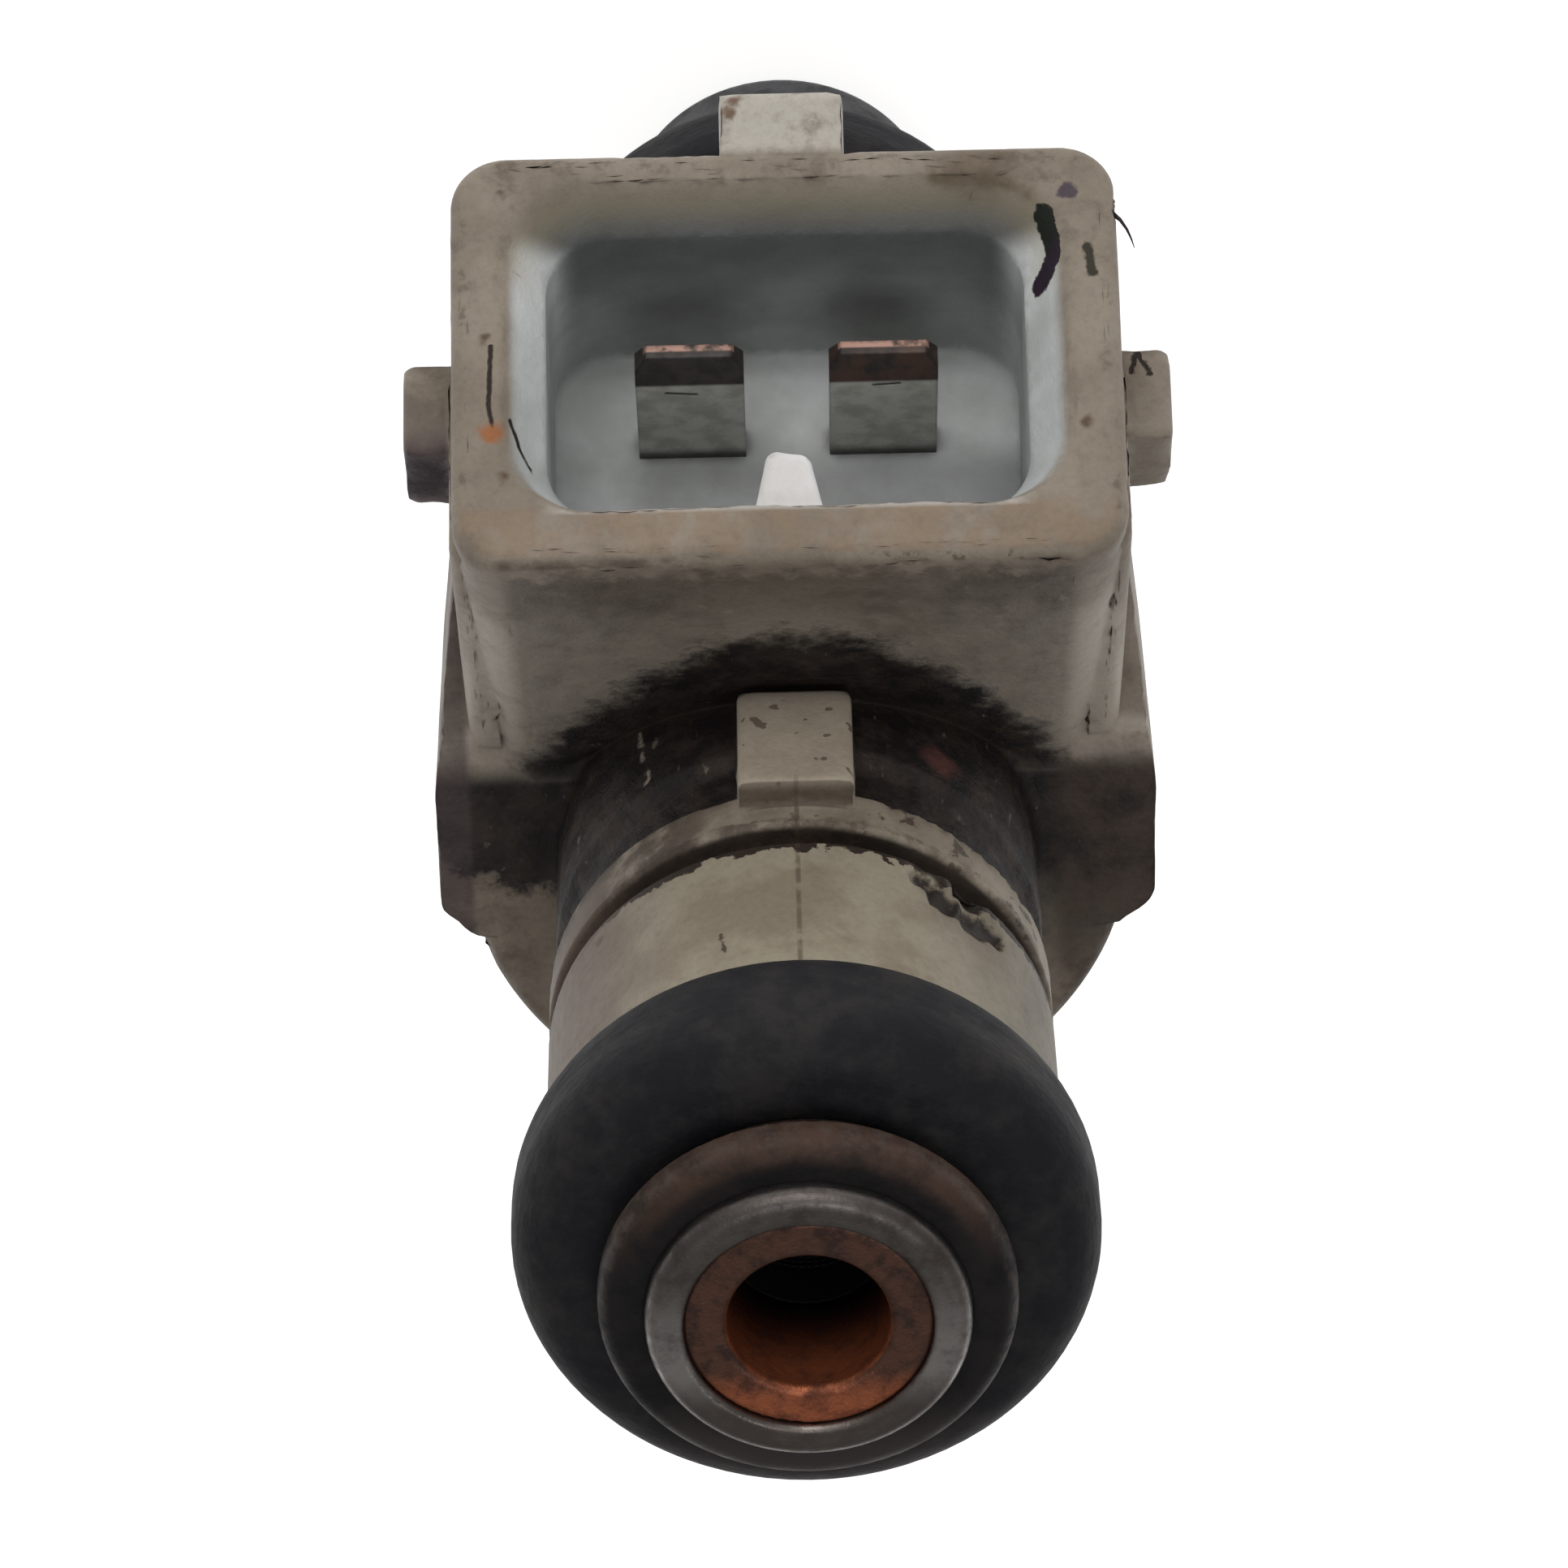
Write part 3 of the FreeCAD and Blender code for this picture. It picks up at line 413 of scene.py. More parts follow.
FAR_RIM_STAIN = (-5.0, -19.5, -18.95)
GROOVE_CHIPS = ((-3.23, -5.64, -6.87), (-3.68, -5.36, -6.21), (-4.38, -4.80, -6.02),
                (-4.83, -4.34, -6.27), (-4.30, -4.87, -7.1))
NECK_STAIN = ((5.15, -3.96, -8.46), (5.93, -2.28, -8.20), (6.24, -1.81, -7.07))
NECK_NOTCH = (5.06, -4.07, -6.65)
NECK_SCRATCHES = ((1.86, -6.22, -2.9), (1.95, -6.2, -3.7))
PALE_SCRATCH = ((4.12, -4.83, -15.12), (3.95, -5.0, -13.6), (3.85, -5.05, -12.43))
RED_SPOT = (-3.78, -5.10, -13.00)
WHISKER = ((-8.40, -18.42, -17.95), (-8.58, -18.30, -17.85), (-8.74, -18.12, -17.68),
           (-8.85, -17.93, -17.50), (-8.92, -17.76, -17.34))
BLADE_MARKS = (((3.10, -13.60, -17.70), (2.35, -13.52, -17.75)),
               ((-2.26, -13.79, -17.58), (-2.90, -13.84, -17.54)))

# Where the moulding's areas lie, in mm: two numbers fade a mask in from one to the other, and
# three are a band with the width of its soft edges. The last word says what is measured.
NECK_Z = (-9.6, -9.0)
FAR_WALL_FAR = (5.7, 6.1)
FACE_DEPTH = (0.12, 0.04)
PAD_SIDE, PAD_Y, PAD_Z = (1.62, 1.45), (-7.3, -7.0, 0.12), (-13.55, -9.2, 0.1)
PAD_FOOT_SIDE, PAD_FOOT_Y, PAD_FOOT_Z = (1.75, 1.6), (-6.3, -6.45), (-9.2, -9.0, 0.06)
COLLAR_Z, COLLAR_FRONT_Y = (-9.75, -8.2, 0.1), (-6.6, -6.7)
CHEEK_SIDE, CHEEK_Y, CHEEK_FAR = (6.9, 7.5), (-3.4, -3.8), (-4.9, -5.3)
NEAR_WALL_FAR, NEAR_WALL_DEPTH, SHROUD_DEPTH = (-6.4, -5.3, 0.2), (2.2, 4.0), (14.0, 12.5)
ROOM_DEPTH, ROOM_FLOOR, ROOM_SIDE = (0.05, 0.6), (8.6, 8.3), (7.15, 6.9)
ROOM_FAR, ROOM_NEAR = (5.1, 4.8), (-4.6, -4.2)
RIB_SIDE, RIB_TOP, RIB_FOOT = (1.25, 1.1), (-2.2, -2.5), (-4.7, -4.4)
LUG_SIDE = (8.55, 8.8)
GROOVE_Z, GROOVE_R, NECK_EDGE_R = (-8.2, -7.4, 0.08), (6.42, 6.25), (6.3, 6.4)

# The moulding's colours; the first of a pair is the cleaner.
YELLOWED = tone(136, 126, 114), tone(119, 109, 97)
NECK_CREAM = tone(140, 132, 116), tone(124, 114, 99)
PAD_LIT_CREAM = tone(172, 162, 147), tone(146, 134, 119)
COLLAR_LIT_CREAM = tone(154, 145, 130), tone(92, 81, 70)
FAR_CREAM, CHEEK_LIT_CREAM, WALL_LIT_CREAM = tone(168, 163, 154), tone(176, 167, 155), tone(156, 146, 134)
DULLED, TAN, LIP_HIGHLIGHT = tone(104, 93, 82), tone(128, 108, 88), tone(176, 172, 166)
KEPT_WHITE = tone(200, 203, 204), tone(176, 179, 178)
RIB_LIT_WHITE, LIP_YELLOW = tone(232, 232, 234), tone(150, 138, 112)
GRIME = tone(27, 24, 24), tone(48, 40, 36)
SCRAPED, FILM, EDGE_DIRT, CORNER_DIRT_AND_SHADE = (tone(120, 110, 100), tone(80, 67, 57),
                                         tone(88, 76, 66), tone(46, 39, 34))
EAR_DIRT_RIGHT, EAR_DIRT = tone(58, 46, 40), tone(70, 60, 54)
LUG_DIRT, LUG_PURPLE = tone(84, 75, 70), tone(66, 54, 60)
GROOVE_DIRT, LIP_DIRT, NECK_EDGE_DIRT = tone(40, 33, 29), tone(62, 52, 45), tone(46, 38, 33)
PAD_FOOT_DIRT, COLLAR_DIRT, NECK_DIRT = tone(70, 58, 48), tone(58, 49, 43), tone(54, 45, 39)
NECK_SHADE, PARTING_LINE, NECK_SCRATCH = tone(98, 86, 76), tone(70, 58, 48), tone(70, 62, 54)
BURNT = tone(24, 28, 22), tone(38, 26, 40)
PIT = tone(70, 61, 52)


# ---------------------------------------------------------------- the cream moulding
def socket_places(paint):
    """Far and depth of each place in the socket's frame, in mm."""
    offset = paint.vector("SUBTRACT", paint.place, tuple(SOCKET_MOUTH))
    far = paint.vector("DOT_PRODUCT", offset, tuple(SOCKET_FAR))
    depth = paint.vector("DOT_PRODUCT", offset, tuple(-SOCKET_OUT))
    return far, depth


class Moulding(Paint):
    """The cream moulding's material, laid on in order from clean plastic to single marks."""

    def __init__(self):
        super().__init__("cream_moulding")
        self.far, self.depth = socket_places(self)
        self.side = self.math("ABSOLUTE", self.x)
        self.from_axis = self.radius()
        self.ragged = self.warp(1.6, 0.7)
        self.jagged = self.warp(5.0, 0.22)
        self.unsteady = self.warp(2.0, 0.16)
        self.mottle = self.noise(0.35, 4, 0.6)
        self.blotch = self.noise(0.9, 4, 0.6)
        self.fine = self.noise(2.4, 5, 0.65)
        self.grit = self.noise(9.0, 3, 0.6)
        self.uneven = self.math("SUBTRACT", self.noise(0.6, 5, 0.7), 0.5)
        self.streaky = self.math("SUBTRACT", self.noise(1.5, 4, 0.6), 0.5)
        self.shaken = self.math("ADD", self.part(self.uneven, 5.2), self.part(self.streaky, 1.6))
        self.neck = self.rise(self.z, *NECK_Z)
        self.face = self.rise(self.depth, *FACE_DEPTH)
        pad_side = self.rise(self.side, *PAD_SIDE)
        self.pad = self.both(pad_side, self.band(self.y, *PAD_Y), self.band(self.z, *PAD_Z))
        self.collar = self.but(self.band(self.z, *COLLAR_Z),
                               self.both(self.rise(self.side, *PAD_SIDE),
                                         self.rise(self.y, *COLLAR_FRONT_Y)))
        self.room = self.both(self.rise(self.depth, *ROOM_DEPTH), self.rise(self.depth, *ROOM_FLOOR),
                              self.rise(self.side, *ROOM_SIDE), self.rise(self.far, *ROOM_FAR),
                              self.rise(self.far, *ROOM_NEAR))
        self.colour = self.mix(self.rise(self.mottle, 0.35, 0.68), *YELLOWED)

    def lay(self, share, colour):
        """Covers what is there with a colour where share is 1."""
        self.colour = self.mix(share, self.colour, colour)

    def shade(self, share, level):
        """Darkens what is there to a level where share is 1."""
        self.colour = self.darken(self.colour, share, level)

    def outside(self):
        """Yellowed plastic, paler on the socket's far wall; a lighter cream on the pad, the collar, the
        cheeks and the near wall as painted light, and a painted highlight on the near lip.
        """
        self.lay(self.neck, self.mix(self.rise(self.mottle, 0.4, 0.62), *NECK_CREAM))
        self.lay(self.rise(self.far, *FAR_WALL_FAR), FAR_CREAM)
        self.lay(self.rise(self.fine, 0.5, 0.75, 0.3), DULLED)
        self.lay(self.both(self.face, self.rise(self.far, -4.1, -4.5),
                           self.rise(self.blotch, 0.35, 0.6, 0.55)), TAN)
        # a painted highlight along the near lip's inner edge
        lip_highlight = self.both(self.face, self.band(self.far, -4.35, -4.1, 0.14),
                             self.rise(self.side, 6.4, 5.4))
        self.lay(self.part(lip_highlight, 0.7), LIP_HIGHLIGHT)
        # painted light: the pad, the collar, the cheeks and the near wall get a lighter cream than the
        # lamps give them
        self.lay(self.pad, self.mix(self.blotch, *PAD_LIT_CREAM))
        self.lay(self.collar, self.mix(self.blotch, *COLLAR_LIT_CREAM))
        cheek_face = self.both(self.rise(self.side, *CHEEK_SIDE), self.rise(self.y, *CHEEK_Y),
                               self.rise(self.far, *CHEEK_FAR))
        self.lay(self.both(cheek_face, self.rise(self.depth, 3.0, 4.5)), CHEEK_LIT_CREAM)
        self.lay(self.both(self.band(self.far, *NEAR_WALL_FAR),
                           self.rise(self.depth, *NEAR_WALL_DEPTH, 0.7),
                           self.rise(self.depth, *SHROUD_DEPTH)), WALL_LIT_CREAM)

    def socket_room(self):
        """White and cold where the plug kept the plastic clean; painted shade under the far wall and at
        the sides, painted blade shadows on the floor, and the rib painted lighter as lit.
        """
        white = self.mix(self.rise(self.mottle, 0.35, 0.7), *KEPT_WHITE)
        rib = self.both(self.rise(self.side, *RIB_SIDE), self.rise(self.far, *RIB_TOP),
                        self.rise(self.far, *RIB_FOOT))
        # painted light: the rib's face is whiter than the room around it
        white = self.mix(rib, white, RIB_LIT_WHITE)
        # painted shade on the room's far wall, but not on the rib
        shade = self.both(self.rise(self.far, 3.1, 3.9), self.rise(self.depth, 12.0, 1.0))
        white = self.darken(white, self.but(shade, rib), 0.17)
        # painted shade at the room's sides and painted blade shadows on its floor
        flank_shade = self.both(self.rise(self.side, 3.6, 5.4), self.rise(self.far, 2.5, 0.5))
        white = self.darken(white, self.part(flank_shade, 0.5), 0.62)
        floor = self.both(self.rise(self.depth, 7.2, 7.8), self.rise(self.far, 1.7, 0.3),
                          self.rise(self.x, 5.0, 3.6))
        white = self.darken(white, self.but(floor, rib), 0.6)
        yellow = self.both(self.rise(self.depth, 1.5, 0.3), self.rise(self.far, 1.5, 3.0))
        self.lay(self.room, self.mix(self.part(yellow, 0.5), white, LIP_YELLOW))

    def old_grime(self):
        """Thick between the collar and the socket; returns its mask."""
        wall_start = self.math("ADD", 3.0, self.part(self.math("MULTIPLY", self.x, self.x), 0.155))
        wall = self.both(self.rise(self.depth, *SHROUD_DEPTH), self.band(self.far, -6.3, -5.5, 0.4),
                         self.rise(self.side, 8.2, 7.8),
                         self.rise(self.math("ADD", self.depth, self.shaken), wall_start,
                                   self.math("ADD", wall_start, 2.6)))
        cheeks = self.both(self.rise(self.side, *CHEEK_SIDE),
                           self.rise(self.math("ADD", self.y, self.uneven), -3.9, -5.0),
                           self.rise(self.math("ADD", self.depth, self.shaken), 11.5, 9.5))
        waist = self.both(self.rise(self.plus(self.z, self.streaky, 1.4), -9.85, -10.25),
                          self.rise(self.z, -26.0, -18.0),
                          self.rise(self.plus(self.y, self.uneven, 5.0),
                                    self.math("SUBTRACT", 3.0, self.part(self.x, 0.25)), 0.2),
                          self.rise(self.far, -5.6, -6.1), self.math("SUBTRACT", 1.0, cheeks))
        grime = self.but(self.either(wall, waist), self.pad)
        scraped = self.noise(1.5, 4, 0.6, at=self.stretch(1.0, 1.0, 0.4))
        grime = self.but(grime, self.rise(scraped, 0.66, 0.76, 0.6))
        self.lay(grime, self.mix(self.rise(self.blotch, 0.42, 0.66), *GRIME))
        scratches = self.noise(3.0, 3, 0.6, at=self.stretch(2.6, 1.0, 0.25))
        self.lay(self.both(grime, self.rise(scratches, 0.68, 0.74, 0.35)), SCRAPED)
        return grime

    def thin_film(self):
        """A brown film over the rest of the body, dirt and painted shade in corners, and dirt on edges.
        """
        film = self.rise(self.noise(0.8, 5, 0.7), 0.5, 0.72, 0.55)
        low = self.rise(self.z, -15.5, -17.0)
        film = self.but(self.both(film, self.either(low, self.rise(self.far, -4.0, -5.6, 0.6))),
                        self.room)
        film = self.but(film, self.rise(self.z, -9.8, -9.4, 0.8))
        self.lay(self.but(film, self.pad), FILM)
        behind = self.both(self.rise(self.side, 6.6, 7.4), self.rise(self.y, -3.6, -2.4),
                           self.rise(self.z, -9.0, -10.0))
        right_behind = self.both(behind, self.rise(self.x, -5.0, -6.0))
        self.lay(self.both(right_behind, self.rise(self.uneven, -0.25, 0.1, 0.75)), EAR_DIRT_RIGHT)
        self.lay(self.both(behind, self.rise(self.uneven, -0.1, 0.15, 0.45)), EAR_DIRT)
        lugs = self.rise(self.side, *LUG_SIDE)
        self.lay(self.both(lugs, self.rise(self.blotch, 0.3, 0.6, 0.55),
                           self.rise(self.x, -12.0, 2.0)), LUG_DIRT)
        self.lay(self.both(lugs, self.math("SUBTRACT", 1.0, self.rise(self.z, -15.5, -18.0)),
                           self.rise(self.x, 8.0, 8.6), self.rise(self.far, -0.4, -1.2, 0.7)),
                 LUG_PURPLE)
        # dirt and painted shade in corners and hollows, from ambient occlusion
        corner = self.rise(self.crevice(0.9), 0.3, 0.85, 0.8)
        self.lay(self.but(corner, self.room), CORNER_DIRT_AND_SHADE)
        self.lay(self.both(self.face, self.rise(self.noise(1.4, 4, 0.7), 0.53, 0.66, 0.6),
                           self.either(self.rise(self.side, 7.6, 8.2),
                                       self.rise(self.far, 4.9, 5.5))), EDGE_DIRT)

    def groove_and_collar(self):
        """Brown dirt in the clip groove, chips at one side of it, and a stained collar."""
        groove = self.both(self.band(self.z, *GROOVE_Z), self.rise(self.from_axis, *GROOVE_R))
        lip_dirt = self.both(self.band(self.plus(self.z, self.streaky, 0.8), -8.45, -8.1, 0.1),
                             self.rise(self.uneven, -0.05, 0.1))
        chips = self.either(self.line(GROOVE_CHIPS[:4], 0.40, 0.08, self.jagged),
                            self.spots(GROOVE_CHIPS[1:], 0.50, 0.08, self.jagged))
        self.lay(self.either(groove, chips), GROOVE_DIRT)
        self.lay(self.part(lip_dirt, 0.65), LIP_DIRT)
        self.lay(self.both(self.band(self.plus(self.z, self.streaky, 1.3), -7.8, -7.1, 0.05),
                           self.rise(self.z, -7.9, -7.6), self.rise(self.from_axis, *NECK_EDGE_R)),
                 NECK_EDGE_DIRT)
        pad_foot = self.both(self.rise(self.side, *PAD_FOOT_SIDE), self.band(self.z, *PAD_FOOT_Z),
                             self.rise(self.y, *PAD_FOOT_Y))
        self.lay(self.part(pad_foot, 0.7), PAD_FOOT_DIRT)
        patches = self.both(self.collar, self.rise(self.noise(1.3, 4, 0.65), 0.57, 0.62),
                            self.rise(self.x, 1.5, -1.0))
        patches = self.either(patches, self.both(self.collar,
                                                 self.rise(self.math("ADD", self.x, self.streaky),
                                                           1.2, 3.6),
                                                 self.rise(self.blotch, 0.3, 0.55)))
        self.lay(self.part(patches, 0.8), COLLAR_DIRT)
        return chips

    def stained_neck(self):
        """Stains, a duller side, the parting line and two scratches on the neck."""
        self.lay(self.either(self.line(NECK_STAIN, 0.42, 0.2, self.ragged),
                             self.spot(NECK_NOTCH, 0.16, 0.06, self.jagged)), NECK_DIRT)
        self.shade(self.both(self.rise(self.z, -7.5, -7.3), self.rise(self.side, 2.4, 6.2)), 0.62)
        self.lay(self.both(self.neck, self.rise(self.x, 3.8, 5.8, 0.85)), NECK_SHADE)
        self.lay(self.both(self.neck, self.rise(self.side, 0.09, 0.03), self.rise(self.y, -4.0, -5.0),
                           self.rise(self.noise(1.4), 0.35, 0.5, 0.6)), PARTING_LINE)
        self.lay(self.line(NECK_SCRATCHES, 0.05, 0.03, self.jagged), NECK_SCRATCH)

    def single_marks(self):
        """Cracks, stains and burns that the photograph shows once; returns the deep ones."""
        self.lay(self.line(PALE_SCRATCH, 0.07, 0.06, self.ragged), tone(134, 124, 114))
        self.lay(self.spot(RED_SPOT, 0.5, 0.3, self.ragged), tone(86, 56, 52))
        self.lay(self.spots(BROWN_SPECKS, 0.16, 0.1, self.ragged), tone(86, 68, 54))
        self.lay(self.spot(RUST_SPOT, 0.30, 0.14, self.ragged), tone(142, 92, 58))
        cracks = self.either(self.line(RIM_CRACK, 0.05, 0.03, self.unsteady),
                             self.line(LIP_CRACK, 0.06, 0.03, self.unsteady),
                             self.line(LUG_CRACK, 0.06, 0.03, self.jagged))
        self.lay(cracks, tone(34, 27, 24))
        self.lay(self.line(FAR_LIP_STAIN, 0.22, 0.2, self.ragged), tone(94, 84, 66))
        self.lay(self.part(self.spot(FAR_RIM_STAIN, 0.9, 0.6, self.ragged), 0.6), tone(92, 78, 64))
        self.lay(self.line(OLIVE_MARK, 0.12, 0.04, self.jagged), tone(46, 44, 34))
        self.lay(self.spot(PURPLE_SPOT, 0.24, 0.05, self.jagged), tone(72, 62, 70))
        self.lay(self.spots(TAB_STAIN, 0.2, 0.1, self.ragged), tone(104, 84, 70))
        self.lay(self.spot(LUG_TIP, 1.1, 0.4, self.unsteady), tone(44, 33, 42))
        burn = self.line(BURN, 0.29, 0.03, self.jagged)
        self.lay(burn, self.mix(self.rise(self.z, -17.6, -17.0), *BURNT))
        self.lay(self.line(WHISKER, 0.13, 0.02), tone(46, 38, 36))
        return cracks, burn

    def pits_and_specks(self):
        """A few dark pits in the pad's worn face, and specks all over the outside."""
        pits = self.both(self.pad, self.rise(self.noise(1.7, 2, 0.5), 0.63, 0.66))
        self.lay(self.part(pits, 0.7), PIT)
        speckle = self.rise(self.noise(5.5, 3, 0.7), 0.42, 0.66, 0.22)
        self.shade(self.but(speckle, self.room), 0.62)

    def relief(self, grime, deep_marks):
        """Bump for the grain, the grime's crust and the deep marks."""
        normal = self.bump(self.grit, 0.012)
        normal = self.bump(self.fine, 0.03, under=normal)
        normal = self.bump(self.both(grime, self.fine), 0.06, under=normal)
        return self.bump(self.either(*deep_marks), -0.08, under=normal)


def cream_moulding():
    paint = Moulding()
    paint.outside()
    paint.socket_room()
    grime = paint.old_grime()
    paint.thin_film()
    chips = paint.groove_and_collar()
    paint.stained_neck()
    cracks, burn = paint.single_marks()
    paint.pits_and_specks()
    normal = paint.relief(grime, (cracks, burn, chips))
    return paint.finish(paint.colour, paint.plus(0.42, paint.fine, 0.25), normal=normal,
                        specular=0.2)


# ---------------------------------------------------------------- the worn moulding's shape
def refined_copy(node, longest):
    """A copy of a node's mesh whose edges are all shorter than longest."""
    shape = bmesh.new()
    shape.from_mesh(node.data)
    bmesh.ops.remove_doubles(shape, verts=shape.verts, dist=SAME_POINT * MM)
    for _ in range(REFINE_PASSES):
        long_edges = [edge for edge in shape.edges if edge.calc_length() > longest]
        if not long_edges:
            break
        bmesh.ops.subdivide_edges(shape, edges=long_edges, cuts=1)
        uneven = [face for face in shape.faces if len(face.verts) > 3]
        bmesh.ops.triangulate(shape, faces=uneven)
    shape.normal_update()
    return shape


def tree_of(places):
    tree = kdtree.KDTree(len(places))
    for index, place in enumerate(places):
        tree.insert(place, index)
    tree.balance()
    return tree


def convex_edges(shape):
    """The verts along every sharp outward edge."""
    sharp = set()
    for edge in shape.edges:
        if len(edge.link_faces) == 2 and edge.is_convex and edge.calc_face_angle() > SHARP_EDGE:
            sharp.update(edge.verts)
    return tree_of([vert.co for vert in sharp])


def neighbours(name):
    """A search tree over the faces of every other node."""
    corners, faces = [], []
    for other, node in NODES.items():
        if other == name:
            continue
        start = len(corners)
        corners += [vert.co for vert in node.data.vertices]
        faces += [[start + index for index in polygon.vertices] for polygon in node.data.polygons]
    return BVHTree.FromPolygons(corners, faces)


def chip_depth(place):
    """How deep a chip goes at a place, in mm."""
    deepest = 0.0
    for chip in GROOVE_CHIPS:
        share = 1.0 - (place - Vector(chip)).length / CHIP_REACH
        deepest = max(deepest, CHIP_DEPTH * min(1.0, 2.0 * share))
    return deepest


def grime_height(place):
    """How thick the crust of dirt is at a place, in mm."""
    offset = place - SOCKET_MOUTH
    outside = (place.z < CRUST_Z[0] or place.z > CRUST_Z[1] or place.y > 0.0
               or abs(place.x) > CRUST_SIDE or offset.dot(SOCKET_FAR) > CRUST_FAR)
    on_pad = abs(place.x) < PAD_CLEAR_SIDE and place.y < PAD_CLEAR_Y
    if outside or on_pad:
        return 0.0
    lumps = noise.noise(place * 1.6) + 0.5 * noise.noise(place * 4.0)
    return CRUST_HEIGHT * max(0.0, CRUST_LEAST + lumps)


def wear_down(shape, name):
    """Rounds the sharp edges, ripples the faces, adds chips and a crust of dirt."""
    edges = convex_edges(shape)
    others = neighbours(name)
    moves = []
    for vert in shape.verts:
        near = others.find_nearest(vert.co, 1.0 * MM)
        if near[0] is not None and near[3] < TOUCHING * MM:
            continue
        place = vert.co / MM
        gap = edges.find(vert.co)[2] / MM
        rub = max(0.0, 1.0 - gap / WEAR_REACH) ** 2
        if GROOVE_WALLS[0] < place.z < GROOVE_WALLS[1] and place.xy.length < NECK_R:
            rub = 0.0
        patchy = 0.75 + 1.2 * noise.noise(place * 0.7) + 0.6 * noise.noise(place * 2.3)
        rub *= max(LEAST_WEAR, patchy)
        ripple = 0.5 + 0.5 * noise.noise(place * 0.45 + WAVE_SHIFT)
        change = grime_height(place) - WEAR_DEPTH * rub - WAVE_DEPTH * ripple - chip_depth(place)
        moves.append((vert, vert.normal * change * MM))
    for vert, move in moves:
        vert.co += move


def add_whisker(shape):
    """A torn fibre of flash that stands off the socket's corner."""
    rings = []
    for index, point in enumerate(WHISKER):
        reach = WHISKER_RADIUS * (1.0 - WHISKER_TAPER * index / (len(WHISKER) - 1))
        ring = []
        for turn in range(WHISKER_SIDES):
            angle = 2.0 * math.pi * turn / WHISKER_SIDES
            flat = WHISKER_FLATNESS * math.sin(angle)
            out = Vector((math.cos(angle), flat, math.sin(angle))) * reach
            ring.append(shape.verts.new((Vector(point) + out) * MM))
        rings.append(ring)
    for first, second in zip(rings, rings[1:]):
        for turn in range(WHISKER_SIDES):
            after = (turn + 1) % WHISKER_SIDES
            shape.faces.new((first[turn], first[after], second[after], second[turn]))
    shape.faces.new(rings[-1])


def make_worn_moulding(material):
    """The moulding as the photograph shows it: a worn copy that stands for the CAD node."""
    name = "overmold_body"
    shape = refined_copy(NODES[name], MESH_STEP * MM)
    wear_down(shape, name)
    add_whisker(shape)
    mesh = bpy.data.meshes.new("worn_moulding")
    shape.to_mesh(mesh)
    shape.free()
    mesh.materials.append(material)
    for polygon in mesh.polygons:
        polygon.use_smooth = True
    mesh.set_sharp_from_angle(angle=SMOOTH_BELOW)
    piece = bpy.data.objects.new("worn_moulding", mesh)
    bpy.context.scene.collection.objects.link(piece)
    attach(piece, "injector")
    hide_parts(name)


def make_live_spring():
    """A copy of the return spring with a mesh of its own, in place of the CAD node; the real spring
    shortens from below as the armature lifts.
    """
    name = "return_spring"
    piece = bpy.data.objects.new("live_spring", NODES[name].data.copy())
    bpy.context.scene.collection.objects.link(piece)
    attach(piece, "injector")
    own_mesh(piece)
    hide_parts(name)


# ---------------------------------------------------------------- rubber, metals, plastics
def seal_rubber():
    """Dusty blue-black rubber, paler with dust on its low side."""
    paint = Paint("seal_rubber")
    dust = paint.rise(paint.noise(0.5, 5, 0.7), 0.42, 0.66, 0.8)
    colour = paint.mix(dust, tone(21, 20, 25), tone(40, 38, 37))
    low_side = paint.rise(paint.y, 4.0, 6.5, 0.6)
    colour = paint.mix(low_side, colour, tone(54, 49, 48))
    fine = paint.noise(9.0, 3, 0.6)
    scuffs = paint.noise(1.6, 4, 0.6, at=paint.stretch(1.0, 1.0, 3.0))
    normal = paint.bump(fine, 0.01)
    normal = paint.bump(scuffs, 0.03, under=normal)
    rough = paint.plus(0.5, scuffs, 0.3)
    return paint.finish(colour, rough, normal=normal, specular=0.16)


def tarnish_of(paint):
    return paint.rise(paint.noise(1.2, 5, 0.7), 0.4, 0.68)


def tool_rings(paint):
    """Bump for the lathe's rings about the axis, with small pits."""
    places = paint.join(paint.part(paint.radius(), 9.0), paint.part(paint.z, 9.0), 0.0)
    normal = paint.bump(paint.noise(1.0, 2, 0.5, at=places), 0.008)
    return paint.bump(paint.noise(5.0, 4, 0.7), 0.012, under=normal)


def turned_metal(name, light, dark, roughness):
    """Metal with tool rings about the axis, tarnish and small pits."""
    paint = Paint(name)
    tarnish = tarnish_of(paint)
    return paint.finish(paint.mix(tarnish, light, dark), paint.plus(roughness, tarnish, 0.2),
                        metallic=1.0, normal=tool_rings(paint))


def plain_plastic(name, light, dark, roughness=0.5):
    """Moulded plastic with a fine grain and a little dirt."""
    paint = Paint(name)
    dirt = paint.rise(paint.noise(0.9, 5, 0.7), 0.42, 0.7)
    normal = paint.bump(paint.noise(8.0, 3, 0.6), 0.012)
    rough = paint.plus(roughness, dirt, 0.2)
    return paint.finish(paint.mix(dirt, light, dark), rough, normal=normal, specular=0.35)


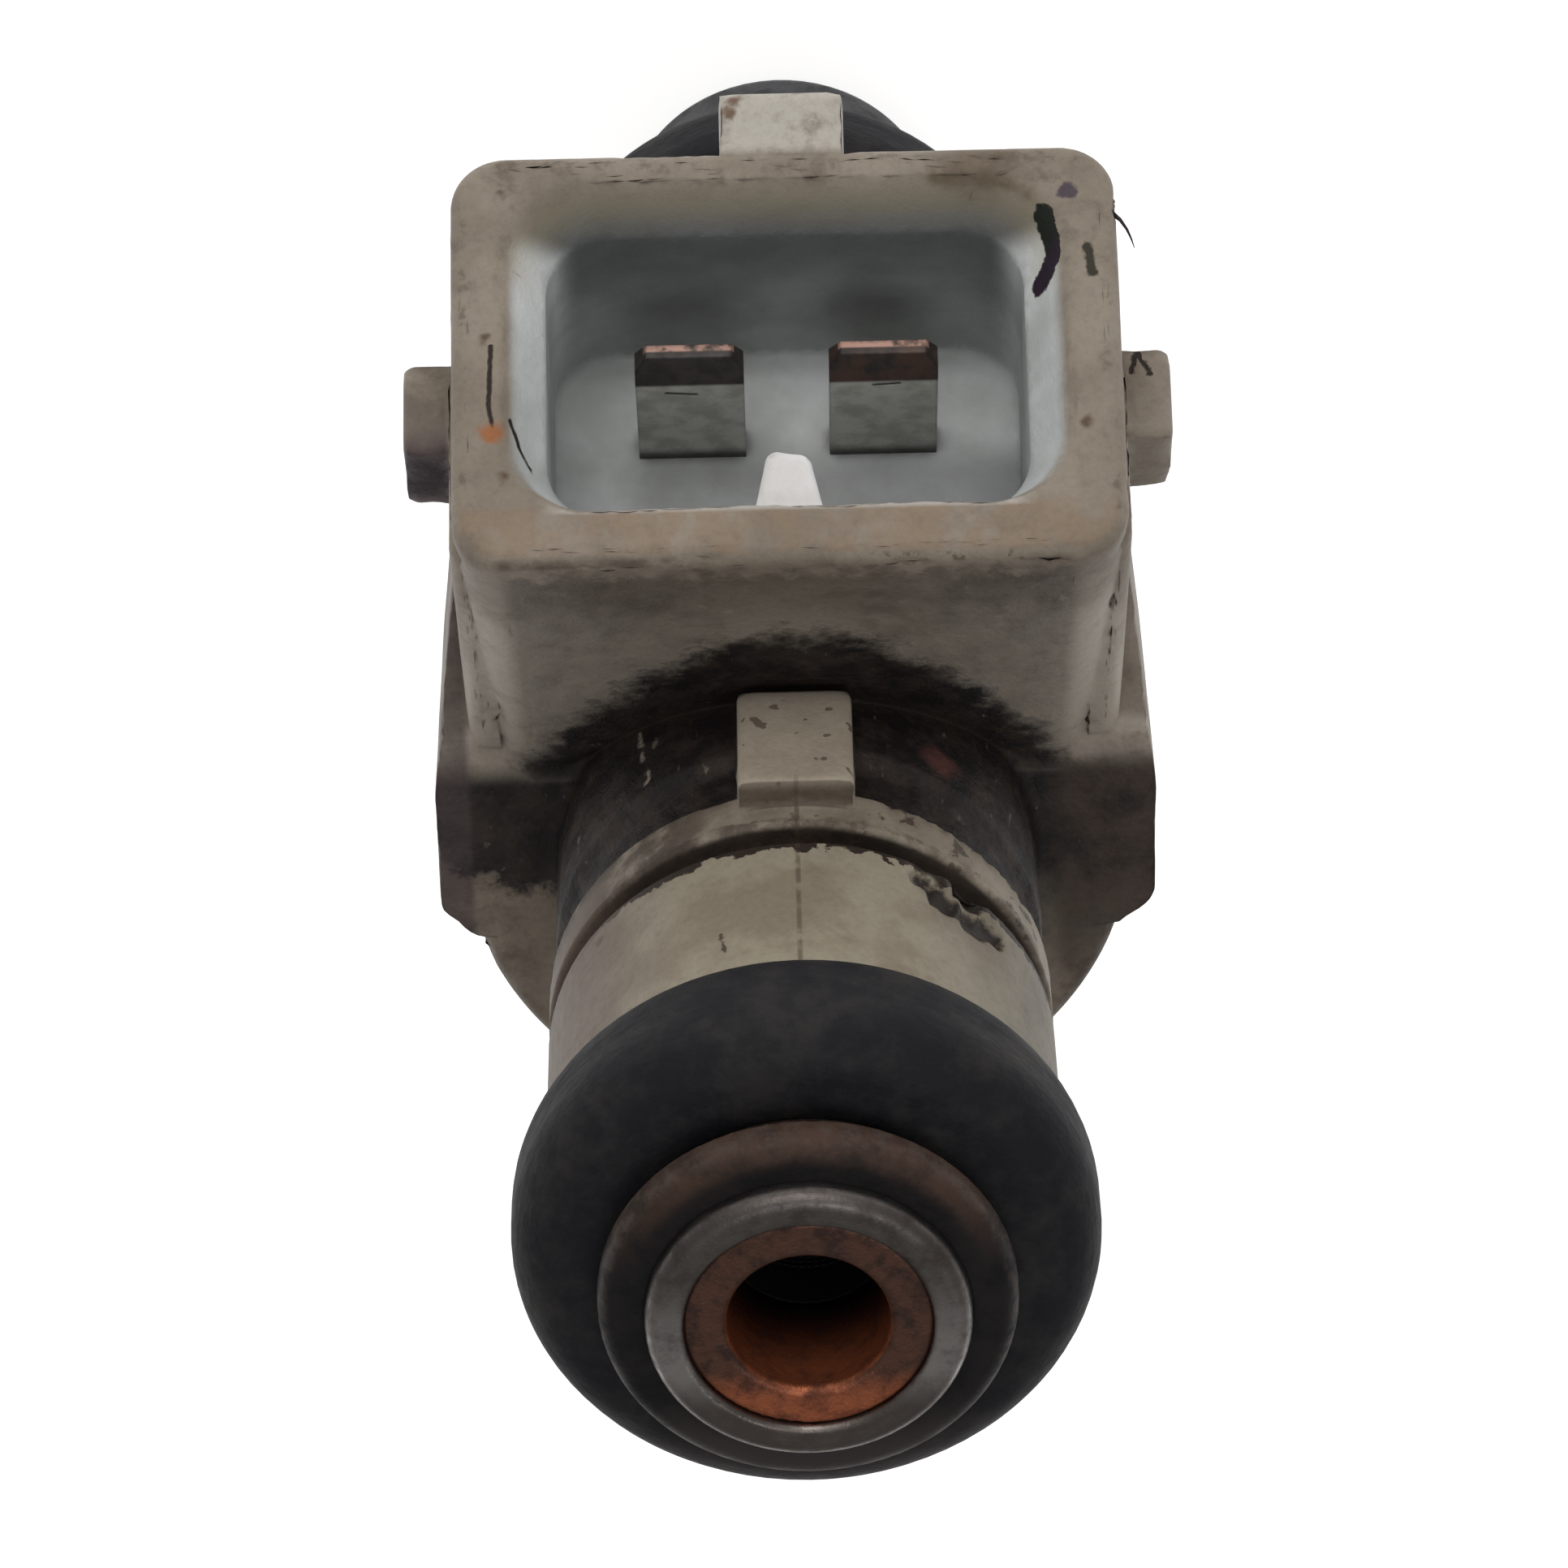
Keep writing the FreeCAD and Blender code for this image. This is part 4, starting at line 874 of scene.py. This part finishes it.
def tarnished_steel():
    """Dark steel with a tarnish film; a browner painted highlight on the rounded edge by the socket, a
    patchy painted sheen on the outer edge and a painted highlight at the foot.
    """
    paint = Paint("tarnished_steel")
    radius = paint.radius()
    film = paint.rise(paint.noise(0.9, 5, 0.7), 0.38, 0.7)
    colour = paint.mix(film, tone(27, 24, 24), tone(18, 17, 18))
    # a brown painted highlight on the rounded edge on the side by the socket
    top = paint.both(paint.rise(paint.y, -1.0, -4.0), paint.rise(radius, 4.3, 4.9))
    colour = paint.mix(top, colour, paint.mix(film, tone(64, 47, 39), tone(44, 35, 31)))
    # a patchy painted sheen along the outer edge
    rim_sheen = paint.both(paint.rise(radius, 4.85, 5.1),
                     paint.rise(paint.noise(2.0, 4, 0.7), 0.42, 0.6, 0.55))
    colour = paint.mix(rim_sheen, colour, tone(70, 60, 54))
    # a painted highlight at the foot
    foot = paint.rise(paint.y, 2.4, 4.4, 0.8)
    colour = paint.mix(foot, colour, tone(60, 54, 53))
    normal = paint.bump(paint.noise(6.0, 4, 0.7), 0.02)
    rough = paint.plus(0.5, film, 0.2)
    return paint.finish(colour, rough, metallic=0.1, normal=normal, specular=0.14)


def bright_steel():
    """Turned steel whose upper lip has tarnished towards the socket."""
    paint = Paint("bright_steel")
    tarnish = tarnish_of(paint)
    colour = paint.mix(tarnish, tone(146, 142, 140), tone(104, 100, 98))
    shaded = paint.both(paint.rise(paint.z, 3.6, 4.1), paint.rise(paint.y, 1.2, 2.6),
                        paint.rise(paint.radius(), 2.95, 3.15))
    colour = paint.mix(shaded, colour, tone(90, 83, 79))
    lip = paint.both(paint.rise(paint.z, 3.6, 4.1), paint.rise(paint.radius(), 2.5, 2.9),
                     paint.rise(paint.y, 1.0, -2.0))
    colour = paint.mix(paint.part(lip, 0.75), colour, tone(58, 50, 46))
    rough = paint.plus(paint.plus(0.26, tarnish, 0.2), lip, 0.15)
    return paint.finish(colour, rough, metallic=1.0, normal=tool_rings(paint))


def bronze():
    """Rusty bronze; its walls painted bright as lit and its upward face darker as painted shade, painted
    shade deeper down the hole, and dark at its outer edge.
    """
    paint = Paint("bronze")
    rust = paint.rise(paint.noise(1.5, 5, 0.7), 0.4, 0.66)
    # painted light and shade: a bright orange copy of the bronze for the lit walls, a dark one for the
    # upward face
    wall = paint.mix(rust, tone(152, 86, 56), tone(98, 54, 38))
    face = paint.mix(rust, tone(84, 56, 44), tone(52, 36, 31))
    shaded_upward = paint.both(paint.rise(paint.split(paint.facing())[2], 0.4, 0.8),
                        paint.rise(paint.y, 2.4, 1.2))
    edge = paint.rise(paint.radius(), 2.95, 3.1)
    pits = paint.noise(4.5, 4, 0.7)
    normal = paint.bump(pits, 0.03)
    rough = paint.plus(0.38, rust, 0.25)
    # painted shade deeper down the hole
    wall = paint.mix(paint.rise(paint.z, 3.4, 0.6), wall, tone(26, 20, 26))
    colour = paint.mix(edge, paint.mix(shaded_upward, wall, face), tone(30, 22, 20))
    return paint.finish(colour, rough, metallic=0.7, normal=normal)


def tinned_blade():
    """A tinned blade whose tapered end has lost its tin."""
    paint = Paint("tinned_blade")
    far, depth = socket_places(paint)
    film = paint.rise(paint.noise(1.3, 4, 0.6), 0.38, 0.66)
    colour = paint.mix(film, tone(184, 183, 176), tone(158, 156, 148))
    taper = paint.rise(depth, 3.95, 3.8)
    bare = paint.mix(paint.rise(paint.x, 0.5, -0.5), tone(56, 50, 47), tone(70, 50, 42))
    colour = paint.mix(taper, colour, paint.mix(film, bare, tone(40, 36, 34)))
    # a painted coppery highlight along the tip's edge
    tip_highlight = paint.both(paint.rise(depth, 2.86, 2.80), paint.rise(far, 1.42, 1.48),
                     paint.rise(paint.noise(2.4), 0.3, 0.5))
    colour = paint.mix(tip_highlight, colour, tone(168, 132, 118))
    foot = paint.rise(depth, 7.3, 7.9)
    colour = paint.mix(foot, colour, tone(60, 58, 54))
    dents = paint.either(*[paint.stroke(start, end, 0.05, 0.04) for start, end in BLADE_MARKS])
    colour = paint.mix(dents, colour, tone(34, 32, 30))
    brush = paint.noise(3.0, 3, 0.5, at=paint.stretch(4.0, 0.6, 0.6))
    normal = paint.bump(brush, 0.01)
    normal = paint.bump(dents, -0.05, under=normal)
    return paint.finish(colour, paint.plus(0.36, film, 0.2),
                        metallic=0.25, normal=normal)


def copper_wire():
    """The winding's turns, as bump and colour over one solid."""
    paint = Paint("copper_wire")
    turns = paint.math("SINE", paint.math("MULTIPLY", paint.z, 30.0))
    colour = paint.mix(paint.rise(turns, -0.8, 0.8), tone(120, 60, 34), tone(196, 112, 66))
    return paint.finish(colour, paint.plus(0.3, paint.noise(2.0), 0.2),
                        metallic=0.9, normal=paint.bump(turns, 0.03))


def mesh_wire():
    """The screen's round and long wires over one solid."""
    paint = Paint("mesh_wire")
    angle = paint.math("ARCTAN2", paint.y, paint.x)
    round_wires = paint.math("SINE", paint.math("MULTIPLY", paint.z, 32.0))
    long_wires = paint.math("SINE", paint.math("MULTIPLY", angle, 66.0))
    weave = paint.math("MAXIMUM", round_wires, long_wires)
    colour = paint.mix(paint.rise(weave, 0.0, 0.9), tone(16, 15, 18), tone(48, 46, 50))
    return paint.finish(colour, 0.5, metallic=0.4, normal=paint.bump(weave, 0.03))


def make_materials():
    """Every CAD node's finish, by the record's slot."""
    return {
        "cream_moulding": cream_moulding(),
        "seal_rubber": seal_rubber(),
        "bright_steel": bright_steel(),
        "tarnished_steel": tarnished_steel(),
        "bronze": bronze(),
        "filter_plastic": plain_plastic("filter_plastic", tone(32, 28, 34), tone(20, 18, 24)),
        "mesh_wire": mesh_wire(),
        "spring_steel": turned_metal("spring_steel", tone(150, 148, 146), tone(96, 94, 92), 0.3),
        "soft_iron": turned_metal("soft_iron", tone(142, 140, 138), tone(104, 100, 97), 0.35),
        "ball_steel": turned_metal("ball_steel", tone(186, 186, 188), tone(160, 160, 162), 0.12),
        "bobbin_plastic": plain_plastic("bobbin_plastic", tone(64, 60, 54), tone(44, 41, 38)),
        "copper_wire": copper_wire(),
        "tinned_blade": tinned_blade(),
        "black_plastic": plain_plastic("black_plastic", tone(46, 46, 50), tone(32, 32, 35)),
    }


def dress_nodes(materials):
    """Gives each CAD node the finish of its slot, and smooth shading over its curved faces."""
    for part in frame["record"]["subparts"]:
        node = NODES[part["node"]]
        node.data.materials.clear()
        node.data.materials.append(materials[part["material_slot"]])
        for polygon in node.data.polygons:
            polygon.use_smooth = True
            polygon.material_index = 0
        node.data.set_sharp_from_angle(angle=SMOOTH_BELOW)


make_camera()
make_world()
make_lights()
make_floor()
finishes = make_materials()
dress_nodes(finishes)
make_worn_moulding(finishes["cream_moulding"])
make_live_spring()
bpy.context.scene.view_settings.view_transform = "Standard"
